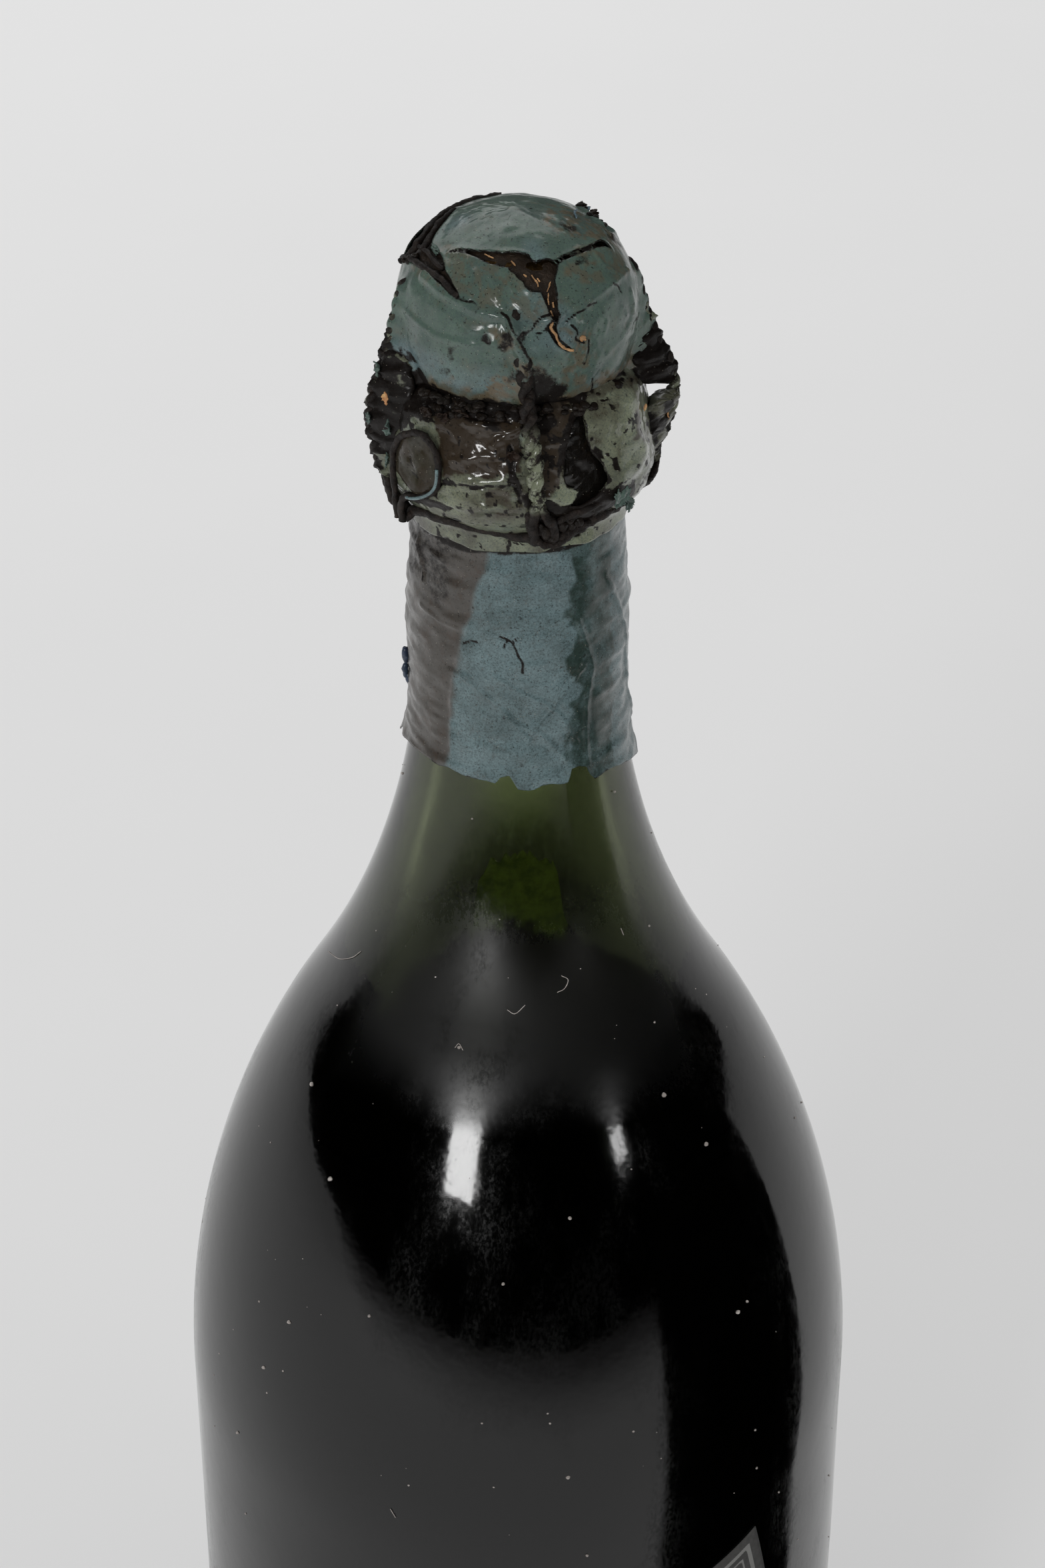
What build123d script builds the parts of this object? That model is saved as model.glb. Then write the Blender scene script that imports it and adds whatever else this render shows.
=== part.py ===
from build123d import *
import math
import os

# Sealed champagne bottle with its cork, wire cage and torn foil. Millimetres, +Z up, standing on z = 0.
# The front, which is the middle of the label and one leg of the cage, faces -Y.
# Azimuths are degrees about +Z, counted from the front towards +X.

# Glass body
body_radius = 45.0
body_wall = 5.5
shoulder_radius = 114.2
neck_sweep_radius = 97.7
neck_radius = 12.4
neck_length = 20.1703
bore_radius = 9.0
mouth_chamfer = 0.8
glass_height = 285.3
heel_radius = 7.0

# Punt, the hollow under the base
punt_depth = 42.0
punt_crown_radius = 9.0
bearing_width = 11.0
punt_crown_fillet = 7.0
punt_mouth_fillet = 3.0
punt_wall = 6.0
trough_corner = 0.5
trough_radius = 4.0

# Collar and lip at the mouth
collar_radius = 15.1
collar_height = 7.8
collar_slope = 1.5
collar_lower_fillet = 0.9
collar_upper_fillet = 1.4
lip_radius = 13.0
lip_height = 6.4
lip_fillet = 1.5
root_fillet = 0.5

# Wine
headspace = 101.3
wine_clearance = 0.05

# Label
label_corner_azimuth = 32.5
label_drop = 4.5
label_height = 80.0
label_end_sag = 6.3
label_side_bulge = 4.8
label_thickness = 0.12
glue_gap = 0.02

# Cork
cork_grip = 25.0
cork_clearance = 0.03
cork_end_chamfer = 1.2
cork_seat_gap = 0.1
cork_head_height = 17.85
crown_radius = 16.4
crown_turn = 35.0
brow_radius = 7.7
brow_turn = 45.0
cheek_radius = 18.3
cheek_turn = 30.0

# Plate under the cage
plate_radius = 9.9
plate_thickness = 0.3
plate_gap = 0.05
plate_rim_height = 0.2
plate_rim_width = 0.9

# Foil
foil_thickness = 0.15
foil_gap = 0.03
neck_foil_length = 34.0
overlap_top_x = -2.9
overlap_bottom_x = -8.1
overlap_turn = -11.5
skirt_length = 1.25
collar_foil_drop = 1.4
cap_skirt_clearance = 0.1
cap_foil_lift = 0.6
rib_share = 0.3
corner_swell = 0.3

# Tears in the lower edge of the neck's foil: azimuth, width, depth
edge_tears = [
    (-97, 2.2, 1.1),
    (-68, 3.0, 1.8),
    (-38, 1.5, 0.9),
    (-14, 1.0, 1.6),
    (4, 1.2, 0.8),
    (17, 2.6, 2.0),
    (46, 1.8, 2.4),
    (84, 2.6, 1.2),
    (128, 3.2, 1.6),
    (171, 2.0, 1.3),
    (-138, 2.8, 1.9),
]

# Patch where the collar's foil has broken away
patch_azimuth = 20.0
patch_rise = 1.5
patch_waist_rise = 0.1
patch_top_drop = 0.9
patch_low_half = 2.5
patch_waist_half = 1.6
patch_high_half = 0.6

# Wire cage
leg_count = 4
wire_radius = 0.4
wire_gap = 0.05
wire_sides = 6
strand_gap = 0.02
corner_direction = 68.0
side_direction = 52.0
corner_bend = 1.2
leg_cheek_off = 1.5
leg_cheek_drop = 11.5
leg_wide_off = 2.4
leg_wide_rise = 2.1
leg_tuck_off = 1.35
leg_tuck_drop = 2.0
leg_foot_off = 0.7
leg_foot_rise = 1.3
twist_turns = 5
steps_per_turn = 8
chord_steps = 8
bend_steps = 3
eye_steps = 5
hook_steps = 6
eye_half_width = 1.1
twist_end_share = 0.72

# Belt wire and pull loop
belt_radius = 0.55
belt_drop = 1.25
belt_stand_off = 1.2
belt_corner_radius = 5.0
stem_azimuth = -70.5
stem_half_gap = 0.02
stem_bend = 0.8
loop_wire_radius = 0.45
loop_clearance = 0.17
loop_axis_gap = 0.1
loop_lean = 3.0
loop_root_half = 0.5
loop_left = -1.25
loop_right = 4.35
loop_height = 9.3
loop_return_height = 1.8
loop_shoulder_height = 3.0
loop_top_bend = 2.6
loop_return_bend = 2.0
loop_root_bend = 3.0

# How far cutting shapes reach past what they cut
cut_reach = 60.0
cut_margin = 1.0

# Sizes that follow from those above
neck_wall = neck_radius - bore_radius
lip_base = glass_height - lip_height
collar_top = lip_base - collar_slope
collar_base = collar_top - collar_height
shoulder_turn = math.acos(1 - (body_radius - neck_radius) / (shoulder_radius + neck_sweep_radius))
shoulder_rise = (shoulder_radius + neck_sweep_radius) * math.sin(shoulder_turn)
shoulder_start = collar_base - neck_length - shoulder_rise
punt_mouth_radius = body_radius - bearing_width
fill_height = glass_height - headspace
cork_top = glass_height + cork_head_height
wire_room = 2 * (wire_radius + wire_gap)
leg_pitch = 360 / leg_count
strand_offset = wire_radius + strand_gap
twist_envelope = wire_radius + strand_offset
wrap_radius = neck_radius + 2 * (foil_gap + foil_thickness)
belt_height = collar_base - belt_drop
belt_path_radius = wrap_radius + wire_gap + belt_radius
belt_apex = belt_path_radius + belt_stand_off
belt_sag = belt_corner_radius - math.sqrt(belt_corner_radius**2 - eye_half_width**2)
eye_radius = belt_apex - belt_sag
hook_radius = belt_radius + wire_radius + wire_gap
loop_axis_radius = collar_radius + foil_gap + foil_thickness + loop_clearance + loop_wire_radius
collar_foil_edge = belt_height - skirt_length
collar_foil_top = glass_height - collar_foil_drop
neck_foil_top = collar_foil_edge + skirt_length - 2 * wire_gap
neck_foil_edge = belt_height - neck_foil_length
cap_foil_edge = glass_height + cap_foil_lift
label_top = shoulder_start - label_drop
label_bottom = label_top - label_height


def polar(radius, azimuth, height):
    """Point at a radius, an azimuth in degrees from the front and a height."""
    angle = math.radians(azimuth)
    return Vector(radius * math.sin(angle), -radius * math.cos(angle), height)


def revolved(face):
    """Solid of revolution of a flat face drawn with x as radius and y as height."""
    return revolve(Plane.XZ * face, Axis.Z, 360)


def band(low, high, reach=cut_reach):
    """Flat rectangle from the axis outwards between two heights."""
    return Pos(reach / 2, (low + high) / 2) * Rectangle(reach, high - low)


def at_azimuth(shape, azimuth):
    """Turns a shape made at the front to an azimuth."""
    return Rot(0, 0, azimuth) * shape


# Glass
def shoulder(radius, convex, concave, neck):
    """Two tangent arcs that bring the body's wall in to the neck."""
    turn = math.degrees(math.acos(1 - (radius - neck) / (convex + concave)))
    lower = JernArc((radius, shoulder_start), (0, 1), convex, turn)
    upper = JernArc(lower @ 1, lower % 1, concave, -turn)
    return [lower, upper]


def glass_outline():
    """Flat face of the bottle's outside, as if it were solid."""
    base = FilletPolyline(
        (0, punt_depth),
        (punt_crown_radius, punt_depth),
        (punt_mouth_radius, 0),
        (body_radius, 0),
        (body_radius, shoulder_start),
        radius=[punt_crown_fillet, punt_mouth_fillet, heel_radius],
    )
    arcs = shoulder(body_radius, shoulder_radius, neck_sweep_radius, neck_radius)
    finish = FilletPolyline(
        arcs[-1] @ 1,
        (neck_radius, collar_base),
        (collar_radius, collar_base + collar_slope),
        (collar_radius, collar_top),
        (lip_radius, lip_base),
        (lip_radius, glass_height),
        (0, glass_height),
        radius=[root_fillet, collar_lower_fillet, collar_upper_fillet, root_fillet, lip_fillet],
    )
    axis = Line((0, glass_height), (0, punt_depth))
    return make_face(Curve() + [base, *arcs, finish, axis])


def cavity_outline():
    """Flat face of the space inside the glass."""
    inner_body = body_radius - body_wall
    floor = punt_depth + punt_wall
    base = FilletPolyline(
        (0, floor),
        (punt_crown_radius + punt_wall / 2, floor),
        (inner_body, trough_corner),
        (inner_body, shoulder_start),
        radius=[punt_crown_fillet, trough_radius],
    )
    arcs = shoulder(inner_body, shoulder_radius - body_wall, neck_sweep_radius + neck_wall, bore_radius)
    mouth = Polyline(
        arcs[-1] @ 1,
        (bore_radius, glass_height - mouth_chamfer),
        (bore_radius + mouth_chamfer, glass_height),
        (0, glass_height),
        (0, floor),
    )
    return make_face(Curve() + [base, *arcs, mouth])


def bottle_glass():
    return revolved(glass_outline() - cavity_outline())


def wine():
    walls = offset(glass_outline() - cavity_outline(), wine_clearance)
    return revolved((cavity_outline() & band(0, fill_height)) - walls)


def label():
    """Paper label: a skin of the body's cylinder cut to an outline with four pointed corners."""
    half = body_radius * math.sin(math.radians(label_corner_azimuth))
    middle = (label_top + label_bottom) / 2
    corners = [(-half, label_top), (half, label_top), (half, label_bottom), (-half, label_bottom)]
    turns = [
        (0, label_top - label_end_sag),
        (half + label_side_bulge, middle),
        (0, label_bottom + label_end_sag),
        (-half - label_side_bulge, middle),
    ]
    sides = [ThreePointArc(a, b, c) for a, b, c in zip(corners, turns, corners[1:] + corners[:1])]
    outline = Plane.XZ * make_face(Curve() + sides)
    inner = body_radius + glue_gap
    tall = label_height + 2 * cut_margin
    skin = Pos(inner + label_thickness / 2, middle) * Rectangle(label_thickness, tall)
    return revolved(skin) & extrude(outline, 2 * body_radius)


# Foil on the neck and collar
def foil_ring(low, high, inner):
    """Foil that follows the glass outside at a distance, between two heights."""
    outline = glass_outline()
    skin = offset(outline, inner + foil_thickness) - offset(outline, inner)
    return revolved(skin & band(low, high))


def neck_foil():
    foil = foil_ring(neck_foil_edge, neck_foil_top, foil_gap)
    flap = foil_ring(neck_foil_edge, collar_foil_edge - wire_gap, foil_gap + foil_thickness)
    flap_outline = Polyline(
        (overlap_top_x, neck_foil_top),
        (overlap_bottom_x, neck_foil_edge),
        (-2 * neck_radius, neck_foil_edge),
        (-2 * neck_radius, neck_foil_top),
        close=True,
    )
    reach = extrude(Plane.XZ * make_face(flap_outline), 2 * neck_radius)
    foil += flap & at_azimuth(reach, overlap_turn)
    for azimuth, width, depth in edge_tears:
        tear = Polyline(
            (-width / 2, neck_foil_edge), (0, neck_foil_edge + depth), (width / 2, neck_foil_edge), close=True
        )
        foil -= at_azimuth(extrude(Plane.XZ * make_face(tear), 2 * neck_radius), azimuth)
    return foil


def collar_foil():
    foil = foil_ring(collar_foil_edge, collar_foil_top, foil_gap)
    under = revolved(band(collar_foil_edge - cut_margin, neck_foil_top, wrap_radius + wire_gap))
    skirt = Pos(wrap_radius - foil_thickness / 2, (collar_foil_edge + collar_base) / 2)
    skirt *= Rectangle(foil_thickness, collar_base - collar_foil_edge)
    foil = foil - under + revolved(skirt)
    patch = Polyline(
        (-patch_low_half, collar_base + patch_rise),
        (-patch_waist_half, collar_top + patch_waist_rise),
        (-patch_high_half, collar_foil_top - patch_top_drop),
        (patch_high_half, collar_foil_top - patch_top_drop),
        (patch_waist_half, collar_top + patch_waist_rise),
        (patch_low_half, collar_base + patch_rise),
        close=True,
    )
    return foil - at_azimuth(extrude(Plane.XZ * make_face(patch), 2 * collar_radius), patch_azimuth)


# Cork, plate and cap
def dome_arcs(gap):
    """Crown, brow and cheek of the cork's head, drawn out by a gap."""
    crown = JernArc((0, cork_top + gap), (1, 0), crown_radius + gap, -crown_turn)
    brow = JernArc(crown @ 1, crown % 1, brow_radius + gap, -brow_turn)
    cheek = JernArc(brow @ 1, brow % 1, cheek_radius + gap, -cheek_turn)
    return [crown, brow, cheek]


def dome_point(gap, direction):
    """Radius and height on the brow, or on the crown, where the surface slopes down by a direction."""
    crown, brow, _ = dome_arcs(gap)
    if direction <= crown_turn:
        return crown @ (direction / crown_turn)
    return brow @ ((direction - crown_turn) / brow_turn)


def cork():
    shank = bore_radius - cork_clearance
    seat = glass_height + cork_seat_gap
    low = glass_height - cork_grip
    arcs = dome_arcs(0)
    rest = Polyline(
        arcs[-1] @ 1,
        (shank + mouth_chamfer, seat),
        (shank, seat),
        (shank, low + cork_end_chamfer),
        (shank - cork_end_chamfer, low),
        (0, low),
        (0, cork_top),
    )
    return revolved(make_face(Curve() + [*arcs, rest]))


def dome_face(gap, edge):
    """Flat face under the dome, drawn out by a gap, with a straight skirt down to a height."""
    arcs = dome_arcs(gap)
    foot = arcs[-1] @ 1
    dome = make_face(Curve() + [*arcs, Polyline(foot, (0, foot.Y), (0, cork_top + gap))])
    widest = dome_arcs(0)[-1].bounding_box().max.X
    skirt_radius = widest + cap_skirt_clearance + max(0, gap - wire_room)
    return (dome + band(edge, (arcs[-1] @ 0).Y, skirt_radius)) & band(edge, cork_top + wire_room + cut_margin)


def cap_plate():
    """Thin domed plate with a raised rim, lying on the cork inside the cage's square."""
    disc = dome_face(plate_gap + plate_thickness, cap_foil_edge) - dome_face(plate_gap, cap_foil_edge)
    rim = dome_face(plate_gap + plate_thickness + plate_rim_height, cap_foil_edge)
    rim -= dome_face(plate_gap, cap_foil_edge)
    reach = band(cap_foil_edge, cork_top + cut_margin, plate_radius)
    inside = band(cap_foil_edge, cork_top + cut_margin, plate_radius - plate_rim_width)
    top = band(cork_top - brow_radius, cork_top + cut_margin, plate_radius)
    return revolved(((disc & reach) + (rim & (reach - inside))) & top)


# Cage
def leg_line():
    """Middle line of a leg, as radius and height, from the cage's square to the belt's outside."""
    top = dome_point(wire_radius + wire_gap, corner_direction)
    brow = dome_point(twist_envelope + wire_gap, crown_turn + brow_turn)
    cheek = (brow.X - twist_envelope + leg_cheek_off - wire_gap, cork_top - leg_cheek_drop)
    widest = (collar_radius + leg_wide_off, lip_base + leg_wide_rise)
    tuck = (collar_radius + leg_tuck_off, collar_top - leg_tuck_drop)
    foot = (collar_radius + leg_foot_off, collar_base + leg_foot_rise)
    return Spline(top, brow, cheek, widest, tuck, foot, (eye_radius + hook_radius, belt_height))


def leg_frame(line, distance):
    """Radius and height at a distance along a leg, and the outward normal there."""
    point = line.position_at(distance, PositionMode.LENGTH)
    along = line.tangent_at(distance, PositionMode.LENGTH)
    return point, Vector(-along.Y, along.X)


def half_strand(leg_azimuth, side):
    """Stations of one strand from the middle of a side of the square down to its hook."""
    line = leg_line()
    stations = []
    # Side of the square, lying on the cork's brow
    corner = dome_point(wire_radius + wire_gap, corner_direction)
    near = math.degrees((strand_offset + corner_bend) / corner.X)
    for step in range(chord_steps + 1):
        share = step / chord_steps
        away = leg_pitch / 2 + (near - leg_pitch / 2) * share
        drop = math.cos(math.pi / 2 * (away - near) / (leg_pitch / 2 - near)) ** 2
        direction = side_direction + (corner_direction - side_direction) * drop
        on_brow = dome_point(wire_radius + wire_gap, direction)
        stations.append(polar(on_brow.X, leg_azimuth + side * away, on_brow.Y))
    # Bend down into the leg
    for step in range(1, bend_steps + 1):
        angle = math.pi / 2 * step / bend_steps
        point, _ = leg_frame(line, corner_bend * (1 - math.cos(angle)))
        aside = strand_offset + corner_bend * (1 - math.sin(angle))
        stations.append(polar(point.X, leg_azimuth + side * math.degrees(aside / point.X), point.Y))
    # Twisted leg
    twist_end = twist_end_share * line.length
    start_angle = 0 if side > 0 else math.pi
    twist_steps = twist_turns * steps_per_turn
    for step in range(1, twist_steps + 1):
        distance = corner_bend + (twist_end - corner_bend) * step / twist_steps
        point, outward = leg_frame(line, distance)
        angle = start_angle + 2 * math.pi * twist_turns * step / twist_steps
        aside = strand_offset * math.cos(angle)
        middle = point + outward * (strand_offset * math.sin(angle))
        stations.append(polar(middle.X, leg_azimuth + math.degrees(aside / point.X), middle.Y))
    # Eye, where the two strands part
    for step in range(1, eye_steps + 1):
        share = step / eye_steps
        point, _ = leg_frame(line, twist_end + (line.length - twist_end) * share)
        spread = min(1, 2 * share)
        spread = spread * spread * (3 - 2 * spread)
        aside = strand_offset + (eye_half_width - strand_offset) * spread
        stations.append(polar(point.X, leg_azimuth + side * math.degrees(aside / point.X), point.Y))
    # Hook under the belt
    for step in range(1, hook_steps + 1):
        angle = math.pi * step / hook_steps
        radius = eye_radius + hook_radius * math.cos(angle)
        height = belt_height - hook_radius * math.sin(angle)
        turn = math.degrees(eye_half_width / (eye_radius + hook_radius))
        stations.append(polar(radius, leg_azimuth + side * turn, height))
    return stations


def tube(stations, radius, sides):
    """Wire of a regular section through a row of stations, without twist of its own."""
    sections = []
    normal = None
    for index, here in enumerate(stations):
        before = stations[max(index - 1, 0)]
        after = stations[min(index + 1, len(stations) - 1)]
        along = (after - before).normalized()
        if normal is None:
            normal = along.cross(Vector(0, 0, 1))
        normal = (normal - along * normal.dot(along)).normalized()
        across = along.cross(normal)
        angles = [2 * math.pi * side / sides for side in range(sides)]
        ring = [here + (normal * math.cos(a) + across * math.sin(a)) * radius for a in angles]
        sections.append(Wire.make_polygon(ring, close=True))
    return Solid.make_loft(sections, ruled=True)


def cage_wire(index):
    """One wire of the cage: up one leg, along a side of the square and down the next leg."""
    first = half_strand(index * leg_pitch, 1)
    second = half_strand((index + 1) * leg_pitch, -1)
    return tube(first[::-1] + second[1:], wire_radius, wire_sides)


def rib(radius):
    """Round rod along the upper part of a leg, at the front, with a ball at the square's corner."""
    path = Plane.XZ * leg_line().trim(0, rib_share)
    start = Plane(origin=path @ 0, z_dir=path % 0)
    return sweep(start * Circle(radius), path) + Pos(path @ 0) * Sphere(radius + corner_swell)


def cap_foil():
    """Foil over the cork's head, drawn over the plate and down over the tops of the legs."""
    outer = revolved(dome_face(wire_room + foil_thickness, cap_foil_edge))
    inner = revolved(dome_face(wire_room, cap_foil_edge))
    for leg in range(leg_count):
        outer += at_azimuth(rib(twist_envelope + wire_gap + foil_thickness), leg * leg_pitch)
        inner += at_azimuth(rib(twist_envelope + wire_gap), leg * leg_pitch)
    return outer - inner


# Belt and loop
def stem_point(aside, facing):
    """Point beside the stem's middle line, on the straight of the belt that faces an azimuth."""
    out = polar(1, stem_azimuth, 0)
    along = polar(1, stem_azimuth + 90, 0)
    square = polar(1, facing, 0)
    far = (belt_path_radius - aside * along.dot(square)) / out.dot(square)
    return out * far + along * aside


def belt_wire():
    """Belt: round the neck, standing off at each leg, with its two ends turned out side by side."""
    reach = (belt_path_radius - belt_corner_radius) / (belt_apex - belt_corner_radius)
    spread = math.degrees(math.acos(reach))
    first_leg = leg_pitch * math.floor(stem_azimuth / leg_pitch)
    aside = belt_radius + stem_half_gap
    tip = polar(loop_axis_radius - loop_wire_radius - loop_axis_gap, stem_azimuth, 0)
    beside = polar(aside, stem_azimuth + 90, 0)
    points = [tip + beside, stem_point(aside, first_leg + spread)]
    bends = [stem_bend]
    for leg in range(leg_count):
        side_azimuth = first_leg + leg_pitch * (leg + 0.5)
        side_reach = belt_path_radius / math.cos(math.radians(leg_pitch / 2 - spread))
        points.append(polar(side_reach, side_azimuth, 0))
        bends.append(belt_path_radius)
        corner_reach = belt_path_radius / math.cos(math.radians(spread))
        points.append(polar(corner_reach, side_azimuth + leg_pitch / 2, 0))
        bends.append(belt_corner_radius)
    points += [stem_point(-aside, first_leg + spread), tip - beside]
    bends.append(stem_bend)
    path = FilletPolyline(*points, radius=bends)
    start = Plane(origin=path @ 0, z_dir=path % 0)
    return Pos(0, 0, belt_height) * sweep(start * Circle(belt_radius), path)


def pull_loop():
    """Flat loop folded up against the collar, with two round ends on its bending line."""
    path = FilletPolyline(
        (-loop_root_half, 0),
        (loop_left, loop_shoulder_height),
        (loop_left, loop_height),
        (loop_right, loop_height),
        (loop_right, loop_return_height),
        (loop_root_half, 0),
        radius=[loop_root_bend, loop_top_bend, loop_top_bend, loop_return_bend],
    )
    path = Plane.XZ * path
    start = Plane(origin=path @ 0, z_dir=path % 0)
    loop = sweep(start * Circle(loop_wire_radius), path)
    for end in (path @ 0, path @ 1):
        loop += Pos(end) * Sphere(loop_wire_radius)
    return at_azimuth(Pos(0, -loop_axis_radius, belt_height) * Rot(loop_lean, 0, 0) * loop, stem_azimuth)


os.makedirs("parts", exist_ok=True)
nodes = {
    "bottle_glass": bottle_glass(),
    "wine": wine(),
    "label": label(),
    "neck_foil": neck_foil(),
    "collar_foil": collar_foil(),
    "cork": cork(),
    "cap_plate": cap_plate(),
    "cap_foil": cap_foil(),
    "belt_wire": belt_wire(),
    "pull_loop": pull_loop(),
}
for index in range(leg_count):
    nodes[f"cage_wire_{index + 1}"] = cage_wire(index)
for name, shape in nodes.items():
    export_step(shape, f"parts/{name}.step")
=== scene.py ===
import math

import bmesh
import bpy
import numpy as np
from bpy.props import FloatProperty, FloatVectorProperty, IntProperty, PointerProperty
from bpy.types import Operator, Panel, PropertyGroup
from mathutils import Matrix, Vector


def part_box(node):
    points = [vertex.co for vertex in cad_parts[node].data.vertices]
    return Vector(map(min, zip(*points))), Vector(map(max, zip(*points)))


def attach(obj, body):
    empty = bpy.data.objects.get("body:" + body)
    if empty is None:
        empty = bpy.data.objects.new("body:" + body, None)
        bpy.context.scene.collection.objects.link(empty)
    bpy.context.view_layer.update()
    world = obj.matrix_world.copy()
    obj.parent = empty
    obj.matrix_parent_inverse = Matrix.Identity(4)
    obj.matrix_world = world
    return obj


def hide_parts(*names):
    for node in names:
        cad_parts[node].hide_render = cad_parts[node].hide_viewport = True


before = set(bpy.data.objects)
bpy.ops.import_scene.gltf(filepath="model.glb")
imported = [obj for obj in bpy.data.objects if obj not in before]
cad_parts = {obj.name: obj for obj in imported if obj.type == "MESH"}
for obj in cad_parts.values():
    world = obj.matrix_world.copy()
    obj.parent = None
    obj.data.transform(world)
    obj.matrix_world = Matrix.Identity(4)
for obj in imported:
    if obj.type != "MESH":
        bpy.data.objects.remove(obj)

bl_info = {
    "name": "Sealed champagne bottle",
    "version": (1, 0, 0),
    "blender": (4, 5, 0),
    "location": "3D View > Sidebar > Bottle",
    "description": "Dresses the packed bottle with glass, torn lacquered foil, rusted wire and a paper label",
    "category": "Add Mesh",
}

# Working lengths are millimetres in the model's frame, and become metres when a mesh is made.
# Azimuths are degrees about +Z, counted from the front, which faces -Y, towards +X.
MM = 0.001

# Outline of the glass: the same sizes as the solid model's
SHOULDER_START = 136.5
SHOULDER_RADIUS = 114.2
SWEEP_RADIUS = 97.7
NECK_RADIUS = 12.4
BORE_RADIUS = 9.0
MOUTH_CHAMFER = 0.8
BODY_WALL = 5.5
LIP_HEIGHT = 6.4
COLLAR_RADIUS = 15.1
COLLAR_HEIGHT = 7.8
COLLAR_SLOPE = 1.5
LIP_RADIUS = 13.0
PUNT_DEPTH = 42.0
PUNT_WALL = 6.0
PUNT_CROWN_RADIUS = 9
PUNT_MOUTH_RADIUS = 34

# Outline of the dome under the foil: radius and turn of each arc from the top
DOME_ARCS = [(17.45, -35.0), (8.75, -45.0), (19.35, -30.0)]

# Middle line of a leg of the cage: radius and height. The front leg lies closer under the foil.
LEG_LINE = [
    (12.55, 296.9), (13.43, 295.4), (14.3, 291.6), (15.9, 286.6), (17.4, 281.2), (16.9, 276.5),
    (16.0, 272.6), (15.5, 270.0),
]
FRONT_LEG_LINE = [
    (12.4, 296.9), (13.1, 295.3), (13.6, 291.6), (14.1, 288.2), (15.3, 285.2), (16.3, 282.0),
    (16.6, 277.5), (16.3, 273.5), (15.6, 270.4),
]
RIGHT_LEG_LINE = [
    (12.55, 296.9), (13.43, 295.4), (14.5, 291.6), (16.3, 287.0), (17.9, 283.7), (18.3, 280.9), (17.9, 278.0),
    (16.9, 275.4), (15.9, 272.9), (15.4, 270.2),
]
LEG_LINES = [FRONT_LEG_LINE, RIGHT_LEG_LINE, LEG_LINE, LEG_LINE]
# Where the front leg runs, as height and azimuth
FRONT_LEG_LEAN = [(270.0, 0.5), (273.9, -3.2), (277.4, -4.6), (280.5, -4.8), (283.5, -6.0), (288.5, -7.9),
                  (291.2, -8.9), (296.0, -13.3), (297.0, -14.0)]
LEG_AZIMUTHS = [0.0, 83.0, 180.0, -89.0]
LEG_LEAN = [0.0, 2.0, 6.0, 2.0]
LEG_FOOT = 269.0
LEG_TOP = 297.0
# The pull loop, folded up: azimuth of its stem, height of its foot and distance from the axis
STEM_AZIMUTH = -70.5
LOOP_FOOT = 268.6
LOOP_REACH = 16.3
# Belt's middle line, as azimuth, radius and height. It dips under the foil left of the front leg.
BELT_LINE = [
    (-70.5, 14.5, 269.6), (-58.0, 14.75, 270.7), (-47.0, 14.75, 270.9), (-38.0, 14.5, 270.6),
    (-28.0, 13.5, 270.0), (-14.0, 13.4, 269.4), (-6.0, 14.6, 269.6), (2.0, 15.1, 269.1), (9.0, 14.9, 269.5),
    (20.0, 14.6, 270.4), (33.0, 14.7, 271.2), (46.0, 14.8, 271.5), (60.0, 14.8, 271.3), (90.0, 14.9, 270.4),
    (135.0, 14.2, 269.4), (180.0, 14.9, 269.3), (225.0, 14.2, 269.2), (260.0, 14.8, 269.6),
    (289.5, 14.5, 269.4),
]

# The photograph's size in pixels, and the camera's azimuth
PHOTO_WIDTH = 1568
PHOTO_HEIGHT = 2352
PHOTO_AZIMUTH = -11.5
# Azimuth of the outline's left edge in the photograph
LEFT_EDGE_AZIMUTH = -98.0


def levels(name):
    """Lowest and highest level of a solid, in millimetres."""
    low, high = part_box(name)
    return low[2] / MM, high[2] / MM


BODY_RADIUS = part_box("bottle_glass")[1][0] / MM
GLASS_HEIGHT = levels("bottle_glass")[1]
CAP_TOP = levels("cap_foil")[1]
COLLAR_BOTTOM = levels("collar_foil")[0]
NECK_BOTTOM, NECK_TOP = levels("neck_foil")
WINE_TOP = levels("wine")[1]
LABEL_BOTTOM, LABEL_TOP = levels("label")


# Sizes and colours that a user can change
class GlassLook(PropertyGroup):
    """Sizes and colours of the blown glass and the wine."""

    columns: IntProperty(name="Columns", description="Faces round the bottle", default=224, min=48)
    tint: FloatVectorProperty(
        name="Glass", description="Colour of light that has passed the wall", subtype="COLOR",
        size=4, default=(0.38, 0.44, 0.23, 1.0))
    wine: FloatVectorProperty(
        name="Wine", description="Colour of the wine", subtype="COLOR",
        size=4, default=(0.0035, 0.0022, 0.0015, 1.0))
    waver: FloatProperty(
        name="Waver", description="Depth of the uneven places in the glass", default=0.00006,
        unit="LENGTH")


class FoilLook(PropertyGroup):
    """Sizes and colours of the lacquered foil."""

    thickness: FloatProperty(
        name="Thickness", description="Thickness of the foil", default=0.00012, unit="LENGTH")
    green: FloatVectorProperty(
        name="Green", description="Colour of clean lacquer on the head", subtype="COLOR",
        size=4, default=(0.19, 0.21, 0.14, 1.0))
    blue: FloatVectorProperty(
        name="Blue", description="Colour of clean lacquer on the neck", subtype="COLOR",
        size=4, default=(0.118, 0.175, 0.185, 1.0))
    # Also the colour of painted shade along the belt and in gaps of the foil
    grime_and_shade: FloatVectorProperty(
        name="Grime", description="Colour of the old dirt in the folds", subtype="COLOR",
        size=4, default=(0.0075, 0.005, 0.0038, 1.0))
    varnish: FloatVectorProperty(
        name="Varnish", description="Colour of the browned lacquer", subtype="COLOR",
        size=4, default=(0.032, 0.022, 0.013, 1.0))


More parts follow.
